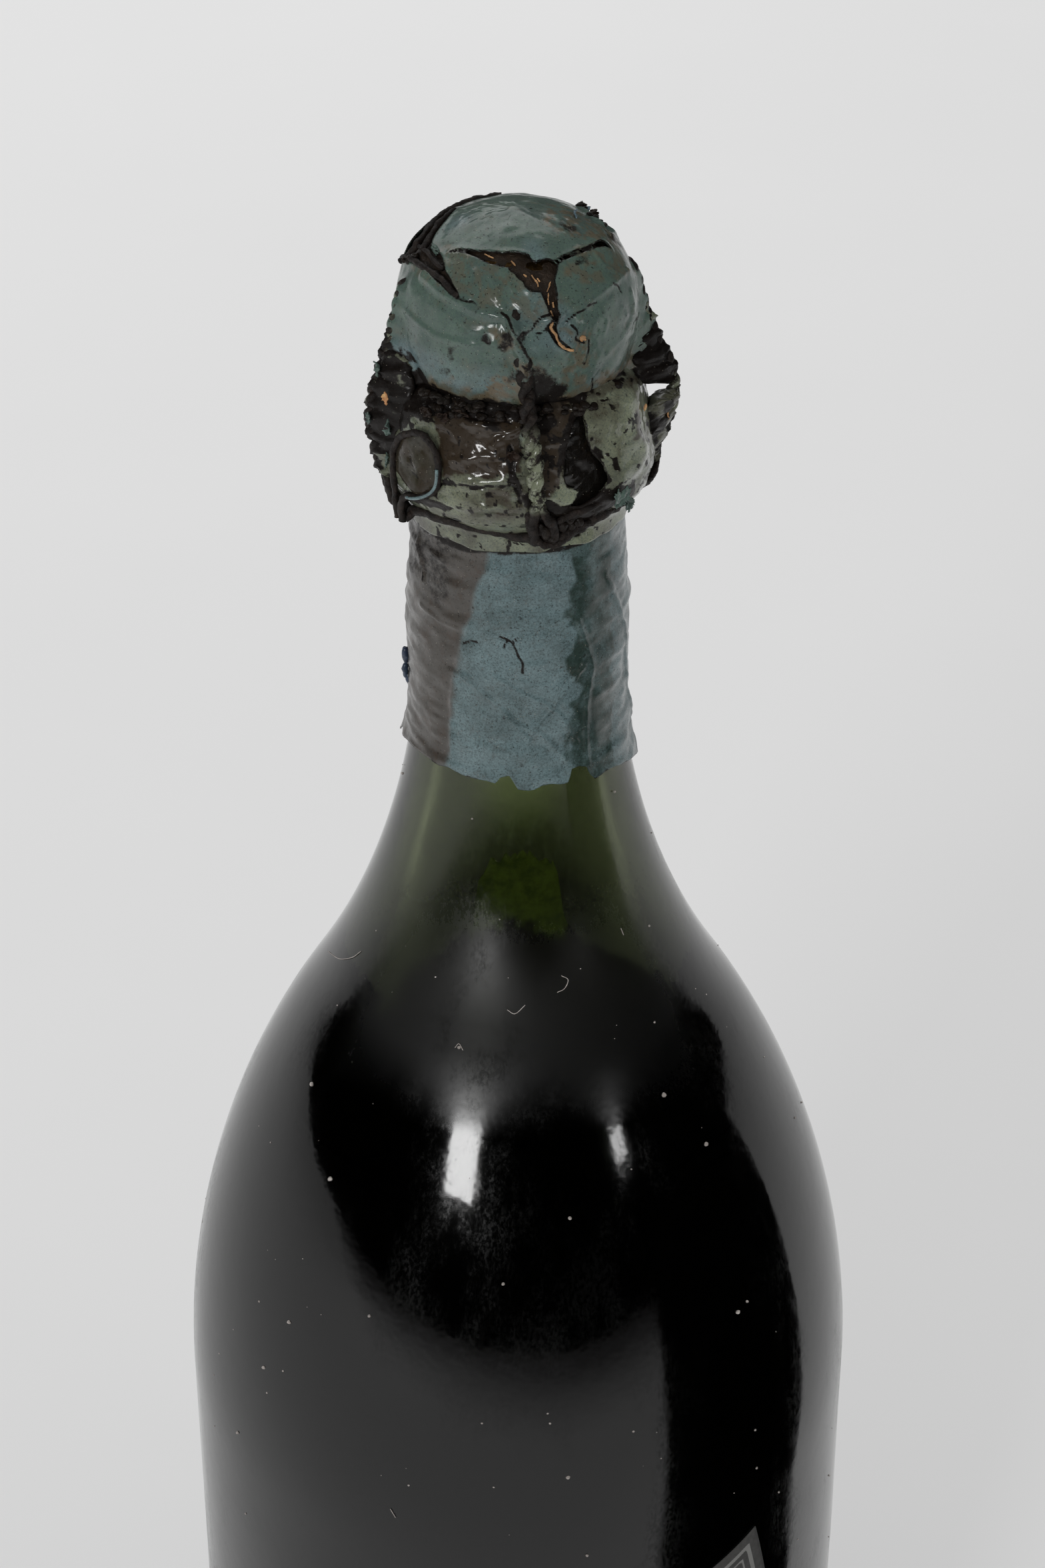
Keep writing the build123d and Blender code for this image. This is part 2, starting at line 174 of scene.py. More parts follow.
class CageLook(PropertyGroup):
    """Sizes and colours of the wire cage."""

    wire: FloatProperty(
        name="Wire", description="Radius of the cage's wire", default=0.0004, unit="LENGTH")
    belt: FloatProperty(
        name="Belt", description="Radius of the belt's wire", default=0.00052, unit="LENGTH")
    turns: IntProperty(name="Turns", description="Full turns of twist in a leg", default=8, min=1)
    rust: FloatVectorProperty(
        name="Rust", description="Colour of the rusted wire", subtype="COLOR",
        size=4, default=(0.009, 0.0062, 0.0048, 1.0))


class StageLook(PropertyGroup):
    """Camera, floor and lights."""

    distance: FloatProperty(
        name="Distance", description="From the bottle's axis to the camera, level", default=0.3533,
        unit="LENGTH")
    height: FloatProperty(name="Height", description="Of the camera", default=0.448, unit="LENGTH")
    aside: FloatProperty(
        name="Aside", description="How far the camera is right of the axis", default=0.00058, unit="LENGTH")
    azimuth: FloatProperty(
        name="Azimuth", description="Where the camera stands, from the front",
        default=math.radians(PHOTO_AZIMUTH), unit="ROTATION")
    pitch: FloatProperty(
        name="Pitch", description="How far the camera looks down", default=math.radians(32.0),
        unit="ROTATION")
    focal: FloatProperty(name="Focal length", description="In pixels of the photograph", default=4994.0)
    floor: FloatVectorProperty(
        name="Floor", description="Colour of the paper", subtype="COLOR", size=4,
        default=(0.8, 0.8, 0.8, 1.0))


# Shapes in numbers
def polar(radius, azimuth, height):
    """Points at radii, azimuths in degrees and heights."""
    angle = np.radians(azimuth)
    return np.stack(np.broadcast_arrays(radius * np.sin(angle), -radius * np.cos(angle), height), -1)


def azimuth_of(points):
    """Azimuths of points, in degrees."""
    return np.degrees(np.arctan2(points[:, 0], -points[:, 1]))


def radius_of(points):
    """Distances of points from the bottle's axis."""
    return np.linalg.norm(points[:, :2], axis=1)


def lengths(line):
    """Length along a line up to each of its points."""
    return np.concatenate([[0], np.cumsum(np.linalg.norm(np.diff(line, axis=0), axis=1))])


def arc_chain(start, heading, arcs, step):
    """Points of tangent arcs, each a radius and a turn in degrees, counterclockwise if positive."""
    points = [np.array([start], float)]
    at = np.array(start, float)
    for radius, turn in arcs:
        side = math.copysign(1, turn)
        count = max(3, int(radius * math.radians(abs(turn)) / step))
        angles = np.radians(heading + np.linspace(0, turn, count + 1))
        first = math.radians(heading)
        centre = at + side * radius * np.array([-math.sin(first), math.cos(first)])
        run = centre + side * radius * np.stack([np.sin(angles), -np.cos(angles)], -1)
        points.append(run[1:])
        at = run[-1]
        heading += turn
    return np.concatenate(points)


def rounded(corners, radii, step=6):
    """Points of a run of straight lines whose inner corners are rounded."""
    corners = np.array(corners, float)
    points = [corners[0]]
    for before, corner, after, radius in zip(corners, corners[1:], corners[2:], radii):
        a = (before - corner) / np.linalg.norm(before - corner)
        b = (after - corner) / np.linalg.norm(after - corner)
        half = math.acos(np.clip(a @ b, -1, 1)) / 2
        reach = radius / math.tan(half)
        middle = corner + (a + b) / np.linalg.norm(a + b) * radius / math.sin(half)
        start, end = corner + a * reach - middle, corner + b * reach - middle
        sweep = math.atan2(start[0] * end[1] - start[1] * end[0], start @ end)
        for k in range(step + 1):
            t = sweep * k / step
            turn = np.array([[math.cos(t), -math.sin(t)], [math.sin(t), math.cos(t)]])
            points.append(middle + turn @ start)
    points.append(corners[-1])
    return np.array(points)


def spread(points, step):
    """The same line with points at most a step apart."""
    result = [points[:1]]
    for a, b in zip(points, points[1:]):
        count = max(1, int(np.linalg.norm(b - a) / step))
        result.append(a + (b - a) * np.linspace(0, 1, count + 1)[1:, None])
    return np.concatenate(result)


def smooth_line(points, count=12):
    """Catmull-Rom line through points, with a number of steps between each two."""
    points = np.array(points, float)
    if len(points) < 3:
        return points[:1] + (points[-1:] - points[:1]) * np.linspace(0, 1, count + 1)[:, None]
    ends = np.concatenate([2 * points[:1] - points[1:2], points, 2 * points[-1:] - points[-2:-1]])
    run = []
    for a, b, c, d in zip(ends, ends[1:], ends[2:], ends[3:]):
        t = np.linspace(0, 1, count, endpoint=False)[:, None]
        run.append(0.5 * (2 * b + (c - a) * t + (2 * a - 5 * b + 4 * c - d) * t**2
                          + (3 * b - a - 3 * c + d) * t**3))
    return np.concatenate(run + [points[-1:]])


def line_distance(points, line):
    """Distance of each point to a line."""
    best = np.full(len(points), np.inf)
    for a, b in zip(line, line[1:]):
        run = b - a
        share = np.clip((points - a) @ run / max(run @ run, 1e-12), 0, 1)
        best = np.minimum(best, np.linalg.norm(points - a - share[:, None] * run, axis=1))
    return best


def line_nearest(points, line):
    """Nearest point on a line to each point."""
    best = np.full(len(points), np.inf)
    found = np.zeros((len(points), line.shape[1]))
    for a, b in zip(line, line[1:]):
        run = b - a
        share = np.clip((points - a) @ run / max(run @ run, 1e-12), 0, 1)
        near = a + share[:, None] * run
        away = np.linalg.norm(points - near, axis=1)
        nearer = away < best
        best[nearer] = away[nearer]
        found[nearer] = near[nearer]
    return found


def inside(points, polygon):
    """Whether flat points lie inside a polygon."""
    result = np.zeros(len(points), bool)
    x, y = points.T
    for (ax, ay), (bx, by) in zip(polygon, np.roll(polygon, -1, axis=0)):
        crosses = (ay > y) != (by > y)
        with np.errstate(divide="ignore", invalid="ignore"):
            result ^= crosses & (x < (bx - ax) * (y - ay) / (by - ay) + ax)
    return result


LATTICES = {}


def noise(points, scale, seed, octaves, gain=0.5):
    """Smooth random values from about -1 to 1 at points, with finer ones added for each octave."""
    total = np.zeros(len(points))
    size, weight = scale, 1.0
    for octave in range(octaves):
        key = seed * 16 + octave
        if key not in LATTICES:
            LATTICES[key] = np.random.default_rng(key).uniform(-1, 1, (32, 32, 32))
        lattice = LATTICES[key]
        place = points / size
        cell = np.floor(place).astype(int)
        part = place - cell
        part = part * part * (3 - 2 * part)
        low, high = cell % 32, (cell + 1) % 32
        value = 0
        for i in (0, 1):
            for j in (0, 1):
                for k in (0, 1):
                    share = (
                        (part[:, 0] if i else 1 - part[:, 0])
                        * (part[:, 1] if j else 1 - part[:, 1])
                        * (part[:, 2] if k else 1 - part[:, 2])
                    )
                    corner = lattice[
                        (high if i else low)[:, 0], (high if j else low)[:, 1], (high if k else low)[:, 2]
                    ]
                    value = value + share * corner
        total += weight * value
        size /= 2
        weight *= gain
    return total


def roughened(points, amount, scale, seed, octaves=3):
    """Points moved at random, alike where they are close together."""
    return points + amount * np.stack([noise(points, scale, seed + k, octaves) for k in range(3)], -1)


def bump(distance, width):
    """Bell shape over a distance."""
    return np.exp(-((distance / width) ** 2))


def ramp(value, low, high):
    """Smooth step from 0 at low to 1 at high."""
    share = np.clip((value - low) / (high - low), 0, 1)
    return share * share * (3 - 2 * share)


# Outlines of revolution, as radius and height
def glass_arcs(radius, convex, concave, neck):
    """Shoulder from a body's radius to a neck's: an arc of one radius inwards and one of another back."""
    turn = math.degrees(math.acos(1 - (radius - neck) / (convex + concave)))
    return arc_chain((radius, SHOULDER_START), 90, [(convex, turn), (concave, -turn)], step=2.0)


def glass_outside():
    """From the middle of the punt over the bearing ring, body, shoulder, collar and lip to the mouth."""
    base = rounded(
        [(0, PUNT_DEPTH), (PUNT_CROWN_RADIUS, PUNT_DEPTH), (PUNT_MOUTH_RADIUS, 0), (BODY_RADIUS, 0),
         (BODY_RADIUS, SHOULDER_START)], [7, 3, 7], 8)
    lip_base = GLASS_HEIGHT - LIP_HEIGHT
    collar_top = lip_base - COLLAR_SLOPE
    collar_base = collar_top - COLLAR_HEIGHT
    shoulder = glass_arcs(BODY_RADIUS, SHOULDER_RADIUS, SWEEP_RADIUS, NECK_RADIUS)
    finish = rounded(
        [
            tuple(shoulder[-1]),
            (NECK_RADIUS, collar_base),
            (COLLAR_RADIUS, collar_base + COLLAR_SLOPE),
            (COLLAR_RADIUS, collar_top),
            (LIP_RADIUS, lip_base),
            (LIP_RADIUS, GLASS_HEIGHT),
            (BORE_RADIUS + MOUTH_CHAMFER, GLASS_HEIGHT),
        ],
        [0.5, 0.9, 1.4, 0.5, 1.5])
    return np.concatenate([spread(base, 4.0), shoulder[1:], spread(finish, 3.0)[1:]])


def glass_inside(gap=0.0):
    """From the mouth down the bore and the inner wall to the floor over the punt."""
    inner = BODY_RADIUS - BODY_WALL
    floor = PUNT_DEPTH + PUNT_WALL
    base = rounded([(0, floor), (12, floor), (inner + gap, 0.5), (inner + gap, SHOULDER_START)], [7, 4], 8)
    wall = glass_arcs(
        inner, SHOULDER_RADIUS - BODY_WALL, SWEEP_RADIUS + NECK_RADIUS - BORE_RADIUS, BORE_RADIUS)
    wall = wall + np.array([gap, 0])
    mouth = np.array([(BORE_RADIUS + gap, GLASS_HEIGHT - MOUTH_CHAMFER)])
    return np.concatenate([spread(base, 4.0), wall[1:], mouth])[::-1]


def dome_outline():
    """From the dome's top down to the crease."""
    return arc_chain((0, CAP_TOP), 0, DOME_ARCS, step=0.1)


def collar_outline():
    """Foil over the lip and collar, from under the crease down to the belt and on to the neck."""
    edge = COLLAR_BOTTOM - 0.9
    line = smooth_line([
        (12.3, 286.9), (12.5, 285.7), (13.2, 284.6), (14.2, 283.4), (14.9, 281.6), (15.35, 279.4),
        (15.8, 277.0), (15.9, 274.4), (15.6, 272.4), (14.9, 270.9), (13.8, 269.7), (13.2, 268.6),
        (13.08, edge)])
    return spread(line, 0.1)


def neck_outline():
    """Foil down the neck, from under the collar's foil to the lowest tip of its torn edge."""
    outside = glass_arcs(BODY_RADIUS, SHOULDER_RADIUS, SWEEP_RADIUS, NECK_RADIUS) + np.array([0.2, 0])
    outside = outside[outside[:, 1] > NECK_BOTTOM - 3.5][::-1]
    top = np.array([(NECK_RADIUS + 0.2, NECK_TOP)])
    return spread(np.concatenate([top, outside]), 0.1)


def height_to_radius():
    """Radius against height of all that the camera sees of the head, neck and body."""
    lines = [dome_outline(), collar_outline()[15:], neck_outline()]
    below = glass_arcs(BODY_RADIUS, SHOULDER_RADIUS, SWEEP_RADIUS, NECK_RADIUS)[::-1]
    line = np.concatenate(lines + [below[below[:, 1] < lines[-1][-1, 1]], [(BODY_RADIUS, 0.0)]])
    order = np.argsort(line[:, 1])
    return line[order, 1], line[order, 0]


class PhotoView:
    """The photograph's view: where a point shows in it, and what point of the bottle shows at a pixel."""

    def __init__(self, look):
        turn = look.azimuth
        away = np.array([math.sin(turn), -math.cos(turn), 0])
        self.right = np.array([math.cos(turn), math.sin(turn), 0])
        self.eye = (away * look.distance / MM + self.right * look.aside / MM
                    + np.array([0, 0, look.height / MM]))
        level = -away
        drop = look.pitch
        self.ahead = level * math.cos(drop) - np.array([0, 0, math.sin(drop)])
        self.up = level * math.sin(drop) + np.array([0, 0, math.cos(drop)])
        self.focal = look.focal

    def pixels(self, points):
        """Place of points in the photograph, in its pixels."""
        away = points - self.eye
        depth = away @ self.ahead
        return np.stack([
            PHOTO_WIDTH / 2 + self.focal * (away @ self.right) / depth,
            PHOTO_HEIGHT / 2 - self.focal * (away @ self.up) / depth,
        ], -1)

    def facing(self, points):
        """Whether points are on the half of the bottle that the camera sees."""
        return points[:, :2] @ self.eye[:2] > -2.0 * np.linalg.norm(self.eye[:2])

    def rays(self, pixels):
        """Directions in which the camera sees pixels."""
        pixels = np.array(pixels, float)
        across = (pixels[:, 0] - PHOTO_WIDTH / 2) / self.focal
        down = (pixels[:, 1] - PHOTO_HEIGHT / 2) / self.focal
        return self.ahead + across[:, None] * self.right - down[:, None] * self.up

    def on_bottle(self, pixels):
        """Points of the bottle's outside at pixels. Beside the outline, the nearest point on it."""
        heights, radii = height_to_radius()
        steps = np.linspace(280, 620, 1700)
        found = []
        for ray in self.rays(pixels):
            along = self.eye + steps[:, None] * ray
            over = radius_of(along) - np.interp(along[:, 2], heights, radii, right=-1)
            # Nothing is met above the head
            over[along[:, 2] > heights[-1]] = 50
            hit = np.nonzero(over < 0)[0]
            if len(hit) and hit[0] > 0:
                k = hit[0]
                share = over[k - 1] / (over[k - 1] - over[k]) if over[k - 1] < 40 else 1.0
                found.append(along[k - 1] + share * (along[k] - along[k - 1]))
            else:
                found.append(along[np.argmin(over)])
        return np.array(found)

    def on_plane(self, pixels, azimuth):
        """Points where pixels meet the upright plane through the bottle's axis at an azimuth."""
        rays = self.rays(pixels)
        turn = math.radians(azimuth)
        normal = np.array([math.cos(turn), math.sin(turn), 0.0])
        along = -(self.eye @ normal) / (rays @ normal)
        return self.eye + along[:, None] * rays

    def share_in(self, points, polygon, edge, seed):
        """Share, from 0 to 1, by which points show inside a polygon of pixels with a ragged edge."""
        shift = np.stack([noise(points, 1.3, seed, 3), noise(points, 1.3, seed + 1, 3)], -1)
        seen = self.pixels(points) + edge * shift
        polygon = np.array(polygon, float)
        away = line_distance(seen, np.concatenate([polygon, polygon[:1]]))
        signed = np.where(inside(seen, polygon), away, -away)
        return ramp(signed, -0.5 * edge, 0.5 * edge) * self.facing(points)


def photo_view():
    """The photograph's view with the stage's values."""
    return PhotoView(bpy.context.scene.bottle_stage_look)


# Meshes
def new_piece(name, points, faces, material, marks=None):
    """Object with smooth faces from points in millimetres, with colour marks at its points."""
    mesh = bpy.data.meshes.new(name)
    mesh.from_pydata((np.asarray(points) * MM).tolist(), [], faces)
    if marks is not None:
        layer = mesh.color_attributes.new("marks", "FLOAT_COLOR", "POINT")
        flat = np.ones((len(points), 4), np.float32)
        flat[:, :marks.shape[1]] = np.clip(marks, 0, 1)
        layer.data.foreach_set("color", flat.ravel())
    mesh.shade_smooth()
    mesh.materials.append(material)
    piece = bpy.data.objects.new(name, mesh)
    bpy.context.scene.collection.objects.link(piece)
    return piece


def merge_close(piece):
    """Joins points that lie on each other, such as at a pole."""
    work = bmesh.new()
    work.from_mesh(piece.data)
    bmesh.ops.remove_doubles(work, verts=work.verts, dist=0.001 * MM)
    bmesh.ops.recalc_face_normals(work, faces=work.faces)
    work.to_mesh(piece.data)
    work.free()
    piece.data.shade_smooth()


def finish_piece(piece, body, slot, *replaced):
    """Ties a piece to its body and hides the solids that it stands for. The slot is not used."""
    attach(piece, body)
    if replaced:
        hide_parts(*replaced)
    return piece


def unmarked(points):
    """The marks of points that have none."""
    return np.zeros((len(points), 3))


def thicken(sheet, thickness, offset=-1):
    """Gives a sheet a thickness in metres: inwards, or outwards with an offset of 1, or both ways with 0."""
    solid = sheet.modifiers.new("thickness", "SOLIDIFY")
    solid.thickness = thickness
    solid.offset = offset


def grid_faces(rows, columns, keep=None):
    """Quads of an open grid of points, with those that aren't kept left out."""
    quads = []
    for i in range(rows - 1):
        for j in range(columns - 1):
            if keep is None or keep(i, j):
                a = i * columns + j
                quads.append([a, a + 1, a + columns + 1, a + columns])
    return quads


def sleeve_faces(rings, sides):
    """Quads between rings of points, and a lid on the first ring."""
    faces = []
    for a in range(0, (rings - 1) * sides, sides):
        for j in range(sides):
            n = (j + 1) % sides
            faces.append([a + j, a + n, a + sides + n, a + sides + j])
    faces.append(list(range(sides))[::-1])
    return faces


def ring_faces(rows, columns, keep=None):
    """Quads of a closed ring of columns, with those that aren't kept left out."""
    row, column = np.meshgrid(np.arange(rows - 1), np.arange(columns), indexing="ij")
    after = (column + 1) % columns
    quads = np.stack([row * columns + column, (row + 1) * columns + column, (row + 1) * columns + after,
                      row * columns + after], -1).reshape(-1, 4)
    if keep is not None:
        quads = quads[keep(quads)]
    return quads.tolist()


class Skin:
    """A sheet round the bottle: rows down an outline, columns round it and a lift along its normals."""

    def __init__(self, outline, rows, columns, ends=None):
        steps = lengths(outline)
        self.columns = columns
        self.rows = rows
        azimuths = np.arange(columns) * 360.0 / columns - 180.0
        last = np.full(columns, steps[-1]) if ends is None else ends(azimuths, steps)
        along = np.linspace(0, 1, rows)[:, None] * last[None, :]
        radius = np.interp(along, steps, outline[:, 0])
        height = np.interp(along, steps, outline[:, 1])
        slope = np.gradient(outline, steps, axis=0)
        slope /= np.maximum(np.linalg.norm(slope, axis=1), 1e-9)[:, None]
        run = np.interp(along, steps, slope[:, 0])
        fall = np.interp(along, steps, slope[:, 1])
        azimuth = np.broadcast_to(azimuths[None, :], radius.shape)
        self.base = polar(radius, azimuth, height).reshape(-1, 3)
        self.normal = polar(-fall, azimuth, run).reshape(-1, 3)
        self.normal /= np.maximum(np.linalg.norm(self.normal, axis=1), 1e-9)[:, None]
        self.azimuth = azimuth.ravel()
        self.to_end = (last[None, :] - along).ravel()
        self.lift = np.zeros(len(self.base))
        self.marks = unmarked(self.base)
        self.hole = np.zeros(len(self.base), bool)
        self.torn = []

    def mark(self, number, share):
        """Raises one of the three marks to a share where it is lower."""
        self.marks[:, number] = np.maximum(self.marks[:, number], share)

    def away(self, line, amount, scale, seed):
        """Distance of the base points, moved a little at random for ragged marks, to a line."""
        return line_distance(roughened(self.base, amount, scale, seed, 2), line)

    def tear(self, outline, curl):
        """Cuts a hole with an outline of points on the base, and curls its edge outwards."""
        closed = np.concatenate([outline, outline[:1]])
        middle = closed.mean(0)
        out = np.array([middle[0], middle[1], 0.0])
        if np.linalg.norm(middle[:2]) < 9:
            out = np.array([middle[0] * 0.3, middle[1] * 0.3, 6.0])
        out /= np.linalg.norm(out)
        side = np.cross(out, [0, 0, 1.0])
        side /= np.linalg.norm(side)
        upward = np.cross(side, out)
        flat = np.stack([self.base @ side, self.base @ upward], -1)
        polygon = np.stack([closed[:-1] @ side, closed[:-1] @ upward], -1)
        within = inside(flat, polygon) & (self.base @ out > (closed @ out).min() - 1.5)
        away = line_distance(self.base, closed)
        self.lift += np.where(within, 0, curl * bump(away, 0.6))
        self.mark(0, 0.9 * bump(away, 0.16))
        self.hole |= within
        self.torn.append(closed)

    def piece(self, name, material):
        """The sheet as an object. Points in a hole but on a kept face move to the hole's edge."""
        hole = self.hole

        def keep(quads):
            return ~hole[quads].all(axis=1)

        faces = ring_faces(self.rows, self.columns, keep)
        base = self.base.copy()
        used = np.zeros(len(base), bool)
        used[np.unique(np.array(faces))] = True
        edge = used & hole
        if edge.any():
            near = [line_nearest(base[edge], closed) for closed in self.torn]
            away = np.array([np.linalg.norm(n - base[edge], axis=1) for n in near])
            base[edge] = np.array(near)[np.argmin(away, axis=0), np.arange(edge.sum())]
        points = base + self.lift[:, None] * self.normal
        order = np.cumsum(used) - 1
        faces = order[np.array(faces)].tolist()
        return new_piece(name, points[used], faces, material, self.marks[used])


def tube(points, radii, sides):
    """Points and faces of a round tube along a line, with a radius at each of its points."""
    points = np.array(points, float)
    ahead = np.gradient(points, axis=0)
    ahead /= np.maximum(np.linalg.norm(ahead, axis=1), 1e-9)[:, None]
    across = np.cross(ahead[0], [0.3, 0.2, 1.0])
    across /= np.linalg.norm(across)
    rings = []
    for at, way, radius in zip(points, ahead, np.broadcast_to(radii, len(points))):
        across = across - way * (across @ way)
        across /= np.linalg.norm(across)
        other = np.cross(way, across)
        angle = np.linspace(0, 2 * math.pi, sides, endpoint=False)[:, None]
        rings.append(at + radius * (np.cos(angle) * across + np.sin(angle) * other))
    faces = sleeve_faces(len(points), sides)
    faces.append(list(range((len(points) - 1) * sides, len(points) * sides)))
    return np.concatenate(rings), faces


def joined(parts):
    """Several meshes as one: points, faces, and which part each point is from."""
    verts, faces, which, start = [], [], [], 0
    for k, (v, f) in enumerate(parts):
        verts.append(v)
        faces += [[start + i for i in face] for face in f]
        which.append(np.full(len(v), k))
        start += len(v)
    return np.concatenate(verts), faces, np.concatenate(which)


# Materials
def tinted(colour, share):
    """A colour made lighter or darker."""
    return tuple(min(1.0, share * c) for c in colour[:3]) + (1.0,)


class Nodes:
    """The nodes of a material or a group, with a short call for each step that recurs."""

    def __init__(self, tree):
        self.nodes, self.links = tree.nodes, tree.links

    def put(self, socket, value):
        """Gives a socket a value, or a link where the value is a socket too."""
        if isinstance(value, bpy.types.NodeSocket):
            self.links.new(value, socket)
        elif value is not None:
            socket.default_value = value

    def node(self, kind, **sockets):
        """A node with values or links for its sockets, which are named with _ for a space."""
        node = self.nodes.new("ShaderNode" + kind)
        for key, value in sockets.items():
            self.put(node.inputs[key.replace("_", " ")], value)
        return node

    def math(self, operation, first, second=None, clamp=False):
        """Result of a calculation with one or two values."""
        node = self.nodes.new("ShaderNodeMath")
        node.operation = operation
        node.use_clamp = clamp
        self.put(node.inputs[0], first)
        self.put(node.inputs[1], second)
        return node.outputs[0]

    def times(self, first, second, clamp=False):
        return self.math("MULTIPLY", first, second, clamp)

    def mix(self, share, first, second):
        """Mix of two colours. Each may be a socket or a colour."""
        node = self.nodes.new("ShaderNodeMix")
        node.data_type = "RGBA"
        for number, value in zip((0, 6, 7), (share, first, second)):
            self.put(node.inputs[number], value)
        return node.outputs[2]

    def level(self, value, low, high, to_low=0.0, to_high=1.0, smooth=False):
        """Where a value lies between two levels, as a number between two others."""
        node = self.node("MapRange", From_Min=low, From_Max=high, To_Min=to_low, To_Max=to_high, Value=value)
        node.interpolation_type = "SMOOTHSTEP" if smooth else "LINEAR"
        return node.outputs["Result"]

    def place(self):
        """The object's own coordinates."""
        return self.nodes.new("ShaderNodeTexCoord").outputs["Object"]

    def along(self, axis):
        """The object's own coordinate along an axis."""
        return self.node("SeparateXYZ", Vector=self.place()).outputs[axis]

    def cloud(self, scale, low, high, detail=4.0, roughness=0.55, stretch=None):
        """Noise in the object's own coordinates, cut to a mask between two levels."""
        place = self.place()
        if stretch is not None:
            place = self.node("Mapping", Scale=stretch, Vector=place).outputs[0]
        texture = self.node("TexNoise", Scale=scale, Detail=detail, Roughness=roughness, Vector=place)
        return self.level(texture.outputs["Fac"], low, high, smooth=True)

    def effect(self, name, **values):
        """Outputs of a shared effect with values for its sockets."""
        node = self.nodes.new("ShaderNodeGroup")
        node.node_tree = shared(name)
        for key, value in values.items():
            node.inputs[key].default_value = value
        return node.outputs


class Paint(Nodes):
    """A new material with its shader."""

    def __init__(self, name):
        self.material = bpy.data.materials.new(name)
        self.material.use_nodes = True
        super().__init__(self.material.node_tree)
        self.shader = self.nodes["Principled BSDF"]

    def shade(self, **sockets):
        """Values or links for the shader's sockets, which are named with _ for a space."""
        for key, value in sockets.items():
            self.put(self.shader.inputs[key.replace("_", " ")], value)

    def bump(self, height, strength, distance):
        """Fine relief of the surface."""
        node = self.node("Bump", Strength=strength, Distance=distance, Height=height)
        self.shade(Normal=node.outputs[0])

    def marks(self):
        """The three marks stored on a mesh."""
        attribute = self.nodes.new("ShaderNodeAttribute")
        attribute.attribute_name = "marks"
        return tuple(self.node("SeparateColor", Color=attribute.outputs["Color"]).outputs)


def new_group(name, inputs, outputs):
    """Node group with named sockets, and its two end nodes. The inputs are names and defaults."""
    group = bpy.data.node_groups.new(name, "ShaderNodeTree")
    for label, default in inputs.items():
        socket = group.interface.new_socket(label, in_out="INPUT", socket_type="NodeSocketFloat")
        socket.default_value = default
    for label in outputs:
        group.interface.new_socket(label, in_out="OUTPUT", socket_type="NodeSocketFloat")
    nodes = group.nodes
    return group, Nodes(group), nodes.new("NodeGroupInput").outputs, nodes.new("NodeGroupOutput").inputs


def speck_group():
    """Fine dust and grains: a mask of them."""
    group, tree, given, result = new_group(
        "Dust specks", {"Scale": 3000.0, "Size": 0.12, "Amount": 0.5}, ["Mask"])
    cells = tree.node("TexVoronoi", Vector=tree.place(), Scale=given["Scale"]).outputs
    near = tree.math("LESS_THAN", cells["Distance"], given["Size"])
    chance = tree.node("SeparateColor", Color=cells["Color"]).outputs[0]
    tree.put(result["Mask"], tree.times(near, tree.math("LESS_THAN", chance, given["Amount"])))
    return group


def crinkle_group():
    """Fine crinkles and pores of old lacquer: a height."""
    group, tree, given, result = new_group("Crinkled lacquer", {"Scale": 900.0, "Sharpness": 1.0}, ["Height"])
    texture = tree.node("TexNoise", Detail=5.0, Distortion=0.6, Vector=tree.place(), Scale=given["Scale"])
    folded = tree.math("ABSOLUTE", tree.math("SUBTRACT", texture.outputs["Fac"], 0.5))
    tree.put(result["Height"], tree.times(folded, given["Sharpness"]))
    return group


GROUPS = {}


def shared(name):
    """A shared effect's node group, built at its first use."""
    if name not in GROUPS:
        GROUPS[name] = {"specks": speck_group, "crinkles": crinkle_group}[name]()
    return GROUPS[name]


# Pale dust on the foil, and golden glints in the dirt, which are painted highlights
DUST_COLOUR = (0.36, 0.33, 0.27, 1.0)
PAINTED_GLINT_COLOUR = (0.42, 0.25, 0.11, 1.0)


